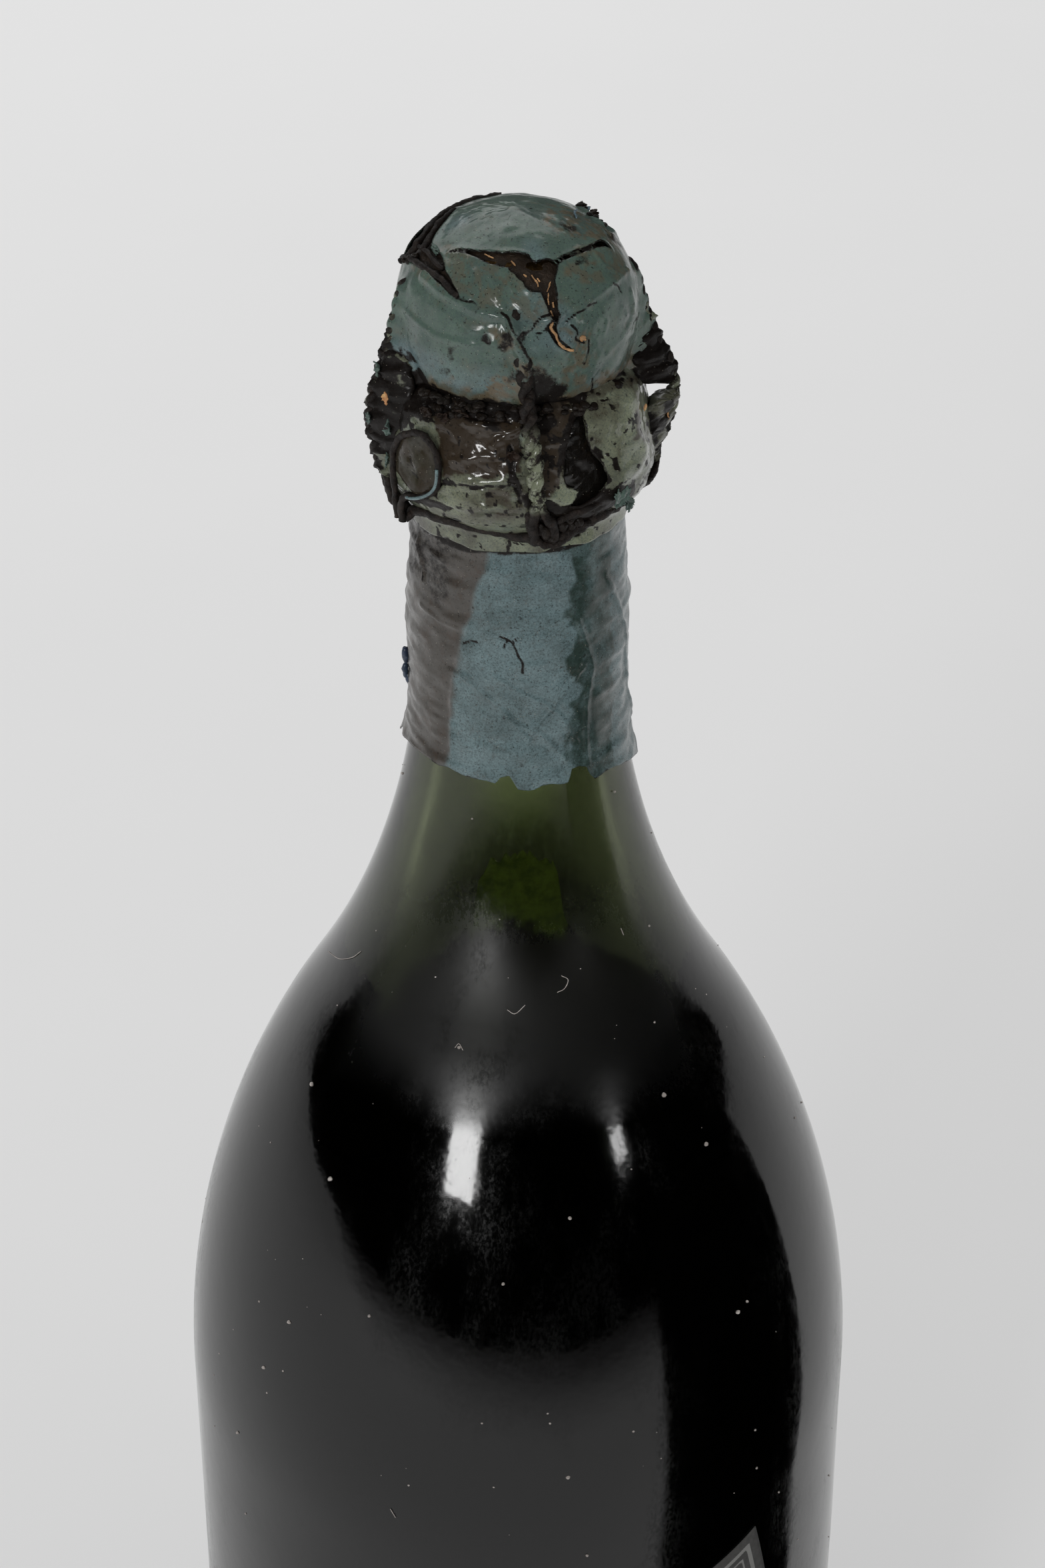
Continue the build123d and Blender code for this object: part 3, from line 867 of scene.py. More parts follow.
def foil_material(name, look, clean, other, gloss, dull=0.35, stain=None):
    """Lacquered foil: two tints, browned lacquer and grime with painted shade by the mesh's marks, crinkles
    and dust.
    """
    paint = Paint(name)
    grime_and_shade, varnish, second = paint.marks()
    darker = tinted(other, 0.4)
    colour = paint.mix(second, tuple(clean), tuple(other))
    colour = paint.mix(paint.times(paint.cloud(330.0, 0.4, 0.7, 9.0, 0.7), 0.5), colour, tinted(clean, 1.4))
    colour = paint.mix(paint.times(paint.cloud(150.0, 0.42, 0.75, 9.0, 0.7), 0.55), colour, darker)
    colour = paint.mix(paint.times(paint.cloud(4200.0, 0.42, 0.68, 4.0, 0.7), 0.55), colour, darker)
    brown = paint.times(paint.cloud(480.0, 0.5, 0.72, 10.0, 0.8), 0.45)
    colour = paint.mix(paint.math("ADD", varnish, brown, clamp=True), colour, tuple(stain or look.varnish))
    rough_edge = paint.cloud(1100.0, 0.3, 0.7, 8.0, 0.8)
    # The first mark is dirt, and on the collar and cap also painted shade along the belt and in gaps
    dirt = paint.times(grime_and_shade, paint.math("ADD", rough_edge, 0.45), clamp=True)
    pocks = paint.effect("specks", Scale=2100.0, Size=0.15, Amount=0.3)["Mask"]
    pits = paint.math("MAXIMUM", pocks, paint.cloud(2900.0, 0.59, 0.68, 4.0, 0.7))
    dirt_and_shade = paint.math("MAXIMUM", paint.level(dirt, 0.15, 0.6, smooth=True), paint.times(pits, 0.75))
    colour = paint.mix(dirt_and_shade, colour, tuple(look.grime_and_shade))
    dust = paint.effect("specks", Scale=3000.0, Size=0.13, Amount=0.22)["Mask"]
    colour = paint.mix(paint.times(dust, 0.6), colour, DUST_COLOUR)
    patchy = paint.cloud(420.0, 0.3, 0.7, 8.0)
    # The lacquer's gloss is missing where it is dirty, and worn in patches
    loss = paint.math("MAXIMUM", paint.times(dirt_and_shade, 0.8), paint.times(patchy, dull))
    paint.shade(
        Base_Color=colour, Roughness=paint.level(patchy, 0.0, 1.0, dull, dull + 0.25),
        Coat_Weight=paint.math("SUBTRACT", 1.0, loss, clamp=True), Coat_Roughness=gloss,
        Specular_IOR_Level=0.18)
    fine = paint.cloud(2400.0, 0.2, 0.8, 6.0, 0.75)
    height = paint.effect("crinkles", Scale=650.0, Sharpness=1.0)["Height"]
    height = paint.math("ADD", height, paint.times(dirt, 0.25))
    height = paint.math("ADD", height, paint.times(fine, 0.3 * dull))
    height = paint.math("SUBTRACT", height, paint.times(pits, 0.3))
    paint.bump(height, 0.5, 0.0003)
    return paint.material


def grime_material(name, colour, glints=0.0, gloss=0.3):
    """Caked brown-black dirt with a dull gloss and, where wanted, golden glints as painted highlights."""
    paint = Paint(name)
    tone = paint.times(paint.cloud(700.0, 0.45, 0.75, 8.0, 0.75), 0.6)
    tone = paint.mix(tone, tuple(colour), tinted(colour, 3.5))
    if glints:
        gold = paint.cloud(900.0, 0.63, 0.68, 10.0, 0.8, stretch=(1.0, 1.0, 0.45))
        tone = paint.mix(paint.times(gold, glints), tone, PAINTED_GLINT_COLOUR)
    rough = paint.level(paint.cloud(900.0, 0.2, 0.8), 0.0, 1.0, gloss, gloss + 0.35)
    paint.shade(Base_Color=tone, Roughness=rough, Specular_IOR_Level=0.3)
    paint.bump(paint.effect("crinkles", Scale=1400.0, Sharpness=1.0)["Height"], 0.9, 0.0004)
    return paint.material


def wire_material(name, look, foil):
    """Rusted wire, lacquered with the foil's green where its mesh is marked."""
    paint = Paint(name)
    painted = paint.marks()[2]
    rust = paint.times(paint.cloud(900.0, 0.4, 0.75, 6.0, 0.7), 0.8)
    colour = paint.mix(rust, tuple(look.rust), tinted(look.rust, 4.0))
    lacquer = paint.times(painted, paint.cloud(700.0, 0.42, 0.54, 8.0, 0.75))
    paint.shade(
        Base_Color=paint.mix(lacquer, colour, tuple(foil.green)), Coat_Weight=lacquer, Coat_Roughness=0.15,
        Specular_IOR_Level=0.3, Roughness=paint.level(lacquer, 0.0, 1.0, 0.55, 0.35))
    paint.bump(paint.effect("crinkles", Scale=2200.0, Sharpness=1.0)["Height"], 0.9, 0.0003)
    return paint.material


def glass_material(look):
    """Dark green bottle glass, deeper at its sides where more glass lies in the way, with dull smears."""
    paint = Paint("old_green_glass")
    height = paint.along("Z")
    colour = paint.mix(paint.cloud(25.0, 0.3, 0.7, 3.0), tuple(look.tint), tinted(look.tint, 0.85))
    turned = paint.node("LayerWeight", Blend=0.5).outputs["Facing"]
    deep = paint.level(turned, 0.17, 0.44, smooth=True)
    thick = paint.math("MAXIMUM", deep, paint.level(height, 0.222, 0.195, smooth=True))
    smears = paint.cloud(70.0, 0.42, 0.66, 8.0, 0.75, stretch=(1.0, 1.0, 0.35))
    grit = paint.cloud(2600.0, 0.35, 0.65, 3.0, 0.7, stretch=(1.0, 1.0, 0.5))
    smeared = paint.times(smears, paint.math("ADD", grit, 0.25), clamp=True)
    # Dull where the film has dried, below the neck
    dull = paint.times(paint.level(height, 0.194, 0.203), paint.level(height, 0.222, 0.206))
    dull = paint.times(dull, paint.math("SUBTRACT", 0.5, paint.times(deep, 0.5)))
    paint.shade(
        Transmission_Weight=1.0, IOR=1.5, Base_Color=paint.mix(thick, colour, tinted(look.tint, 0.04)),
        Roughness=paint.math("ADD", paint.level(smeared, 0.0, 1.0, 0.07, 0.24), dull))
    waves = paint.node("TexNoise", Scale=45.0, Detail=5.0, Roughness=0.65, Vector=paint.place())
    paint.bump(waves.outputs["Fac"], 0.08, 0.001)
    return paint.material


def wine_material(look, name):
    """Nearly opaque dark wine, also for the dark film inside the glass."""
    paint = Paint(name)
    thin = paint.marks()[1]
    tone = paint.mix(paint.cloud(30.0, 0.3, 0.7), tuple(look.wine), tinted(look.wine, 1.5))
    blotches = paint.cloud(500.0, 0.35, 0.7, 6.0, 0.7)
    green = paint.mix(blotches, (0.1, 0.13, 0.03, 1.0), (0.045, 0.062, 0.015, 1.0))
    paint.shade(Base_Color=paint.mix(thin, tone, green), Roughness=0.08, Specular_IOR_Level=0.1)
    return paint.material


def paper_material():
    """Aged matt label paper with a thin dark double rule at its edge."""
    paint = Paint("label_paper")
    edge = paint.marks()[0]
    fibres = paint.cloud(900.0, 0.3, 0.8, 8.0, 0.75)
    foxed = paint.times(paint.cloud(90.0, 0.55, 0.8, 6.0), 0.6)
    colour = paint.mix(fibres, (0.04, 0.039, 0.037, 1.0), (0.068, 0.067, 0.064, 1.0))
    colour = paint.mix(foxed, colour, (0.05, 0.04, 0.028, 1.0))

    def rule(place, width):
        away = paint.math("ABSOLUTE", paint.math("SUBTRACT", edge, place))
        return paint.math("LESS_THAN", away, width)

    lines = paint.times(paint.math("MAXIMUM", rule(0.2, 0.035), rule(0.34, 0.014)), 0.85)
    paint.shade(Base_Color=paint.mix(lines, colour, (0.2, 0.2, 0.19, 1.0)), Roughness=0.85)
    paint.bump(fibres, 0.3, 0.0001)
    return paint.material


def cork_material():
    """Aged natural cork with pores and lenticels."""
    paint = Paint("aged_cork")
    grain = paint.cloud(500.0, 0.3, 0.75, 8.0, 0.65)
    pores = paint.cloud(900.0, 0.6, 0.68, 4.0, stretch=(1.0, 1.0, 0.4))
    colour = paint.mix(grain, (0.3, 0.17, 0.085, 1.0), (0.45, 0.29, 0.16, 1.0))
    paint.shade(Base_Color=paint.mix(pores, colour, (0.06, 0.03, 0.015, 1.0)), Roughness=0.8)
    paint.bump(paint.math("SUBTRACT", grain, pores), 0.5, 0.0003)
    return paint.material


def plate_material():
    """Tarnished brass plate."""
    paint = Paint("tarnished_plate")
    spots = paint.cloud(500.0, 0.4, 0.65, 7.0)
    paint.shade(
        Base_Color=paint.mix(spots, (0.36, 0.22, 0.09, 1.0), (0.03, 0.018, 0.01, 1.0)), Metallic=1.0,
        Roughness=paint.level(spots, 0.0, 1.0, 0.35, 0.8))
    paint.bump(spots, 0.3, 0.0002)
    return paint.material


# Glass, wine and label
# Upper edge of the dark film in the glass as it shows in the photograph, from left to right
INNER_FILM_EDGE = [
    (470, 1647), (482, 1588), (518, 1541), (553, 1517), (576, 1464), (588, 1453), (612, 1446), (635, 1441),
    (659, 1417), (694, 1394), (698, 1372), (700, 1353), (706, 1317), (729, 1294), (753, 1288), (788, 1282),
    (812, 1294), (841, 1294), (853, 1323), (856, 1364), (865, 1394), (882, 1411), (929, 1429), (988, 1447),
    (1023, 1464), (1060, 1520),
]


# White specks and fibres on the glass, in pixels of the photograph
SPECKS = [
    (396, 2051), (401, 2089), (434, 1983), (357, 2149), (852, 2216), (825, 2135), (1133, 2145),
    (1135, 2202), (1107, 1968), (1121, 1952), (855, 1827), (496, 1768), (468, 1626), (881, 2333),
    (755, 1926), (389, 1952), (689, 1571), (554, 1974), (723, 2135), (996, 1642), (1059, 1716),
]
FIBRES = [
    [(842, 1463), (852, 1469), (847, 1482), (836, 1488)],
    [(761, 1514), (773, 1520), (788, 1507)],
    [(493, 1427), (510, 1438), (529, 1436), (542, 1427)],
    [(683, 1571), (689, 1565), (695, 1575)],
    [(931, 1392), (935, 1402)],
    [(586, 2263), (594, 2276)],
]


def lathe(outline, columns, waver=0.0, seed=1):
    """Points and faces of an outline turned about the axis, uneven by a depth where that is asked."""
    azimuths = np.arange(columns) * 360.0 / columns
    points = polar(outline[:, :1], azimuths[None, :], outline[:, 1:2]).reshape(-1, 3)
    if waver:
        level = radius_of(points)
        out = points[:, :2] / np.maximum(level, 1e-6)[:, None]
        out = np.concatenate([out, np.zeros((len(points), 1))], axis=1)
        points = points + out * (waver * noise(points, 22.0, seed, 2) * ramp(level, 8, 12))[:, None]
    return points, ring_faces(len(outline), columns)


class BOTTLE_OT_glass(Operator):
    """Blows the glass, fills it with wine and sticks the label on"""

    bl_idname = "bottle.glass"
    bl_label = "Glass, wine and label"

    def execute(self, context):
        look = context.scene.bottle_glass_look
        outline = np.concatenate([glass_outside(), glass_inside()])
        points, faces = lathe(outline, look.columns, look.waver / MM, 5)
        glass = new_piece("glass_shell", points, faces, glass_material(look))
        merge_close(glass)
        finish_piece(glass, "bottle", "green_glass", "bottle_glass")

        inner = glass_inside(0.15)
        inner = inner[inner[:, 1] < WINE_TOP - 0.5]
        top = np.array([(0, WINE_TOP), (inner[0, 0] - 1.2, WINE_TOP), (inner[0, 0], WINE_TOP + 0.6)])
        points, faces = lathe(np.concatenate([spread(top, 2.0), inner]), 128)
        wine = new_piece("wine_body", points, faces, wine_material(look, "dark_wine"), unmarked(points))
        merge_close(wine)
        finish_piece(wine, "bottle", "wine", "wine")
        self.inner_film(look)
        self.dust()
        self.label()
        return {"FINISHED"}

    def inner_film(self, look):
        """Dark film on the inside of the glass above the wine, green above a ragged line and near black below
        it, with a ragged upper edge.
        """
        seen = photo_view().on_bottle(INNER_FILM_EDGE)
        front = azimuth_of(seen)
        rows, columns = 90, 420
        azimuths = np.arange(columns) * 360.0 / columns - 180.0
        top = np.interp(azimuths, front, seen[:, 2] - 1.5, left=202.0, right=202.0)
        place = polar(14.0, azimuths, 0.0)
        top += 0.55 * noise(place, 1.2, 21, 3) + 0.45 * noise(place, 0.4, 22, 2)
        wall = glass_inside(0.12)
        height = WINE_TOP - 0.8 + (top[None, :] - WINE_TOP + 0.8) * np.linspace(0, 1, rows)[:, None]
        radius = np.interp(height, wall[::-1, 1], wall[::-1, 0])
        points = polar(radius, azimuths[None, :], height).reshape(-1, 3)
        marks = unmarked(points)
        turned = azimuth_of(points) - PHOTO_AZIMUTH
        turned = np.abs(turned + 3.0 * noise(points, 1.3, 24, 4, 0.7))
        black = np.interp(turned, (0, 24, 31, 180), (216.0, 214.0, 226.0, 226.0))
        black = black + 0.9 * noise(points, 1.6, 23, 4, 0.7)
        marks[:, 1] = ramp(points[:, 2], black - 0.7, black + 0.7)
        film_paint = wine_material(look, "inner_film_tone")
        film = new_piece("inner_dark_film", points, ring_faces(rows, columns), film_paint, marks)
        thicken(film, 0.0002, 1)
        finish_piece(film, "bottle", "wine")

    def dust(self):
        """White specks, curled fibres and grains that stick to the outside of the glass."""
        view = photo_view()
        chance = np.random.default_rng(31)
        places = list(view.on_bottle(SPECKS))
        sizes = list(chance.uniform(0.16, 0.34, len(places)))
        heights, radii = height_to_radius()
        for _ in range(260):
            height = 236.0 - 226.0 * chance.random() ** 0.8
            places.append(polar(np.interp(height, heights, radii), chance.uniform(-180, 180), height))
            sizes.append(0.05 + 0.13 * chance.random() ** 2)
        parts = [lump_mesh(place, size, 201 + k % 7, 0.8, 8)
                 for k, (place, size) in enumerate(zip(places, sizes))]
        for k, run in enumerate(FIBRES):
            line = smooth_line(view.on_bottle(run), 6)
            level = radius_of(line)[:, None]
            line[:, :2] *= (level + 0.08) / level
            parts.append(tube(line, 0.055, 5))
        points, faces, _ = joined(parts)
        grains = new_piece("dust_grains", points, faces,
                           grime_material("dust_grain", (0.3, 0.27, 0.25, 1.0), 0.0, 0.5))
        finish_piece(grains, "bottle", "green_glass")

    def label(self):
        """Paper with four pointed corners, its edge distance stored for the printed rule."""
        half = BODY_RADIUS * math.sin(math.radians(32.5))
        middle = (LABEL_TOP + LABEL_BOTTOM) / 2
        across, down = 120, 100
        s = np.linspace(-1, 1, across)[None, :]
        t = np.linspace(-1, 1, down)[:, None]
        width = half + 4.8 * (1 - t**2)
        height = (LABEL_TOP - LABEL_BOTTOM) / 2 - 6.3 * (1 - s**2)
        x = s * width
        z = middle + t * height * np.ones_like(x)
        angle = np.arcsin(np.clip(x / BODY_RADIUS, -1, 1))
        flat = np.stack([(BODY_RADIUS * angle).ravel(), z.ravel()], -1)
        grid = flat.reshape(down, across, 2)
        edge = line_distance(flat, np.concatenate([grid[0], grid[:, -1], grid[-1][::-1], grid[:, 0][::-1]]))
        points = polar(BODY_RADIUS + 0.14 + 0 * x, np.degrees(angle), z).reshape(-1, 3)
        wrinkle = 0.03 * noise(points, 9.0, 31, 3)
        level = radius_of(points)[:, None]
        points[:, :2] *= 1 + np.maximum(wrinkle, -0.02)[:, None] / level
        marks = unmarked(points)
        marks[:, 0] = edge / 10
        label = new_piece("label_paper", points, grid_faces(down, across), paper_material(), marks)
        thicken(label, 0.0001)
        finish_piece(label, "bottle", "label_paper", "label")


# Foil on the neck
# Lower edge of the neck's foil as it shows in the photograph, from left to right
NECK_EDGE = [
    (605, 1071), (607, 1092), (612, 1101), (622, 1112), (640, 1128), (652, 1136), (663, 1146), (680, 1150),
    (697, 1160), (715, 1165), (733, 1168), (745, 1172), (752, 1163), (765, 1160), (770, 1168), (777, 1181),
    (790, 1183), (800, 1182), (812, 1175), (825, 1172), (838, 1173), (850, 1170), (852, 1150), (863, 1146),
    (875, 1147), (880, 1158), (888, 1166), (903, 1154), (915, 1148), (928, 1143), (940, 1136), (948, 1128),
    (955, 1118), (959, 1100),
]
FOIL_FOLDS = [
    # line in the photograph, height, width
    ([(740, 845), (722, 880), (708, 930), (690, 1000), (682, 1060), (680, 1130)], 0.16, 0.55),
    ([(621, 750), (626, 790), (634, 830), (640, 872)], 0.3, 0.35),
    ([(700, 1010), (745, 1050), (790, 1105)], 0.12, 0.4),
    ([(745, 1010), (790, 1040), (830, 1062), (862, 1110)], 0.12, 0.4),
    ([(870, 990), (835, 1045), (800, 1090), (780, 1135)], 0.12, 0.4),
    ([(760, 1075), (810, 1100), (850, 1140)], 0.1, 0.4),
    ([(862, 930), (880, 990), (873, 1060), (878, 1140)], 0.12, 0.5),
    ([(640, 905), (668, 930), (690, 938)], 0.12, 0.4),
    ([(905, 860), (925, 930), (930, 1000), (940, 1080)], 0.14, 0.6),
    ([(700, 1120), (720, 1080), (728, 1040)], 0.1, 0.35),
]
FOIL_CRACKS = [
    [(619, 753), (622, 780), (627, 813), (634, 842), (640, 868)],
    [(700, 960), (708, 957), (718, 958)],
    [(752, 950), (762, 955), (770, 960), (776, 953)],
    [(770, 960), (776, 975), (783, 990), (784, 1004)],
    [(762, 955), (757, 966)],
]


def edge_heights(azimuths):
    """Height of the torn lower edge at azimuths: the photograph's at the front, and much the same behind."""
    seen = photo_view().on_bottle(NECK_EDGE)
    front = azimuth_of(seen)
    order = np.argsort(front)
    front, heights = front[order], seen[order, 2]
    place = polar(14.0, azimuths, 0.0)
    ragged = 234.6 + 0.9 * noise(place, 6.0, 41, 1) + 0.7 * noise(place, 1.6, 42, 2)
    result = np.interp(azimuths, front, heights)
    shown = ramp(azimuths, front[0] - 8, front[0]) * (1 - ramp(azimuths, front[-1], front[-1] + 8))
    return shown * result + (1 - shown) * ragged


class BOTTLE_OT_neck_foil(Operator):
    """Wraps crinkled foil round the neck, torn at its lower edge"""

    bl_idname = "bottle.neck_foil"
    bl_label = "Neck foil"

    def execute(self, context):
        look = context.scene.bottle_foil_look
        view = photo_view()
        outline = neck_outline()

        def ends(azimuths, steps):
            return np.interp(-edge_heights(azimuths), -outline[:, 1], steps)

        skin = Skin(outline, 146, 320, ends)
        base = skin.base
        # Level crinkles, stronger at the sides, and slanting creases low down
        camera_azimuth = skin.azimuth - PHOTO_AZIMUTH
        left = ramp(-camera_azimuth, 18, 40) * ramp(camera_azimuth, -170, -120)
        right = ramp(camera_azimuth, 20, 45) * (1 - ramp(camera_azimuth, 150, 175))
        flat = base * np.array([0.35, 0.35, 1.0])
        skin.lift += (0.1 + 0.12 * left + 0.1 * right) * noise(flat, 1.5, 51, 2)
        skin.lift += 0.1 * noise(base, 5.0, 52, 2)
        slant = np.stack([base[:, 0] + 0.7 * base[:, 2], base[:, 1], 0.25 * base[:, 2]], -1)
        creases = np.maximum(0, 0.35 - np.abs(noise(slant, 4.0, 53, 1)))
        skin.lift += 0.16 * creases * ramp(268 - base[:, 2], 8, 20)
        # The loose foil swells below the middle
        skin.lift += 0.22 + np.interp(
            base[:, 2], (238.0, 243.0, 250.0, 256.0, 261.0, 265.0), (0.35, 0.45, 0.7, 0.6, 0.2, 0.0))
        for line, height, width in FOIL_FOLDS:
            away = skin.away(smooth_line(view.on_bottle(line), 6), 0.12, 1.5, 54)
            skin.lift += 1.5 * height * bump(away, 0.7 * width)
        # The sheet's end lies over its start, left of the middle
        seam = smooth_line(view.on_bottle(FOIL_FOLDS[0][0]), 6)
        order = np.argsort(seam[:, 2])
        at_seam = np.interp(base[:, 2], seam[order, 2], azimuth_of(seam)[order])
        skin.lift -= 0.14 * ramp(at_seam - skin.azimuth, -1.2, 1.2) * ramp(skin.azimuth, -120, -60)
        for line in FOIL_CRACKS:
            away = skin.away(view.on_bottle(line), 0.08, 0.7, 55)
            skin.lift -= 0.1 * bump(away, 0.12)
            skin.mark(0, bump(away, 0.15))
        # Loose lower edge
        skin.lift += (0.1 + 0.22 * np.maximum(0, noise(base, 3.0, 56, 1))) * bump(skin.to_end, 1.0)
        skin.lift = np.maximum(skin.lift, 0.03)
        # Brown on the left, blue in the middle, and on the right dark green as a painted reflection of the
        # dark form beside the bottle, paler past it; dirt under the belt
        ragged = noise(base, 4.0, 57, 4)
        browned = ramp(at_seam - skin.azimuth + 4 * ragged, -1, 4)
        skin.marks[:, 1] = 0.9 * browned * ramp(skin.azimuth, -150, -100)
        wavy = camera_azimuth + 5 * ragged + 3 * noise(base, 1.2, 59, 2)
        painted_reflection = ramp(wavy, 26, 29) * (1 - 0.75 * ramp(wavy, 56, 59))
        skin.marks[:, 2] = painted_reflection * (1 - ramp(camera_azimuth, 120, 160))
        darker = ramp(base[:, 2] + 4 * ragged, 252, 262) * ramp(-camera_azimuth + 8 * ragged, 26, 44)
        skin.mark(0, 0.42 * darker * (1 - ramp(-camera_azimuth, 100, 130)))
        skin.mark(0, 0.8 * ramp(base[:, 2] + 0.5 * ragged, 266.0, 266.8))
        worn = bump(skin.to_end, 0.25) * ramp(noise(base, 1.1, 58, 2), 0.1, 0.5)
        skin.mark(0, 0.55 * worn)
        # The second colour, dark green, is the painted reflection on the right
        material = foil_material("neck_foil_lacquer", look, look.blue, (0.02, 0.042, 0.034, 1.0), 0.22, 0.4,
                                 (0.052, 0.04, 0.031, 1.0))
        piece = skin.piece("neck_foil_wrapped", material)
        thicken(piece, look.thickness)
        finish_piece(piece, "bottle", "foil", "neck_foil")
        return {"FINISHED"}


# Foil on the collar
BLACK_PATCH = [
    (865, 618), (857, 642), (851, 667), (848, 690), (845, 713), (852, 730), (868, 734), (860, 748),
    (852, 757), (870, 757), (890, 742), (901, 729), (905, 712), (898, 693), (885, 678), (877, 658),
    (873, 633), (871, 620),
]
# Browned lacquer, dirt and painted shade on the collar
COLLAR_STAINS_AND_SHADE = [
    # mark, strength, ragged edge in pixels, outline
    (1, 1.0, 7, [
        (638, 581), (694, 604), (731, 617), (786, 617), (785, 659), (779, 712), (759, 717),
        (678, 711), (662, 717), (646, 607)]),
    (2, 0.8, 8, [
        (731, 638), (781, 638), (778, 686), (757, 691), (731, 681)]),
    (1, 0.85, 5, [
        (729, 732), (769, 735), (772, 765), (731, 757)]),
    (1, 1.0, 6, [
        (804, 612), (857, 607), (862, 638), (844, 691), (836, 733), (809, 759), (804, 691)]),
    (1, 0.9, 5, [
        (938, 617), (953, 615), (957, 633), (956, 662), (941, 657), (944, 638)]),
    (1, 0.7, 8, [
        (857, 586), (888, 578), (957, 565), (973, 581), (920, 591), (888, 607), (862, 612)]),
    (1, 0.75, 8, [
        (967, 586), (1015, 586), (1007, 633), (983, 659), (973, 628)]),
    # Black between the left leg and the dome: dirt, and painted shade in the gap
    (0, 1.0, 7, [
        (552, 565), (578, 496), (607, 502), (628, 549), (652, 586), (652, 607), (617, 623),
        (599, 649), (578, 691), (552, 638)]),
    (0, 0.9, 4, [
        (759, 667), (773, 675), (772, 707), (783, 733), (779, 762), (772, 738), (762, 717)]),
    (0, 1.0, 3, [
        (847, 638), (863, 612), (868, 638), (865, 670), (842, 702), (836, 723), (839, 691)]),
    (0, 0.8, 4, [
        (888, 670), (900, 675), (901, 686), (892, 684)]),
    # Black under the belt at the front and right: dirt, and painted shade under the belt
    (0, 1.0, 5, [
        (786, 738), (807, 746), (836, 757), (857, 749), (888, 733), (912, 727), (946, 728),
        (941, 741), (915, 765), (857, 796), (820, 805), (796, 794)]),
    (0, 0.9, 4, [
        (607, 733), (628, 736), (652, 750), (683, 762), (678, 769), (646, 762), (620, 749)]),
]
COLLAR_SEAMS = [
    [(763, 670), (771, 691), (766, 717), (776, 738), (781, 759)],
    [(662, 607), (694, 622), (731, 631), (767, 633)],
    [(757, 807), (778, 806), (809, 805)],
    [(836, 804), (857, 802), (878, 801)],
    [(646, 733), (678, 726), (731, 731), (773, 730)],
]
COLLAR_RIDGES = [
    ([(620, 745), (660, 752), (720, 762), (772, 765)], 0.25, 0.7),
    ([(688, 722), (720, 725), (770, 720)], 0.3, 0.6),
    ([(690, 690), (720, 687), (748, 686)], 0.22, 0.5),
    ([(740, 668), (755, 655), (778, 642)], 0.3, 0.5),
    ([(880, 640), (905, 632), (935, 640), (955, 665)], 0.35, 1.1),
    ([(900, 720), (935, 705), (960, 680)], 0.2, 0.9),
    ([(818, 700), (835, 705), (846, 715)], 0.3, 0.6),
    ([(820, 745), (845, 750), (868, 745)], 0.3, 0.6),
    ([(820, 668), (838, 665), (850, 655)], 0.3, 0.5),
]


def belt_heights():
    """Azimuths from 0 to 360 and the belt's height at each."""
    rows = np.array(BELT_LINE)
    azimuths = np.arange(0, 361, 3.0)
    return azimuths, np.interp((azimuths - rows[0, 0]) % 360 + rows[0, 0], rows[:, 0], rows[:, 2])


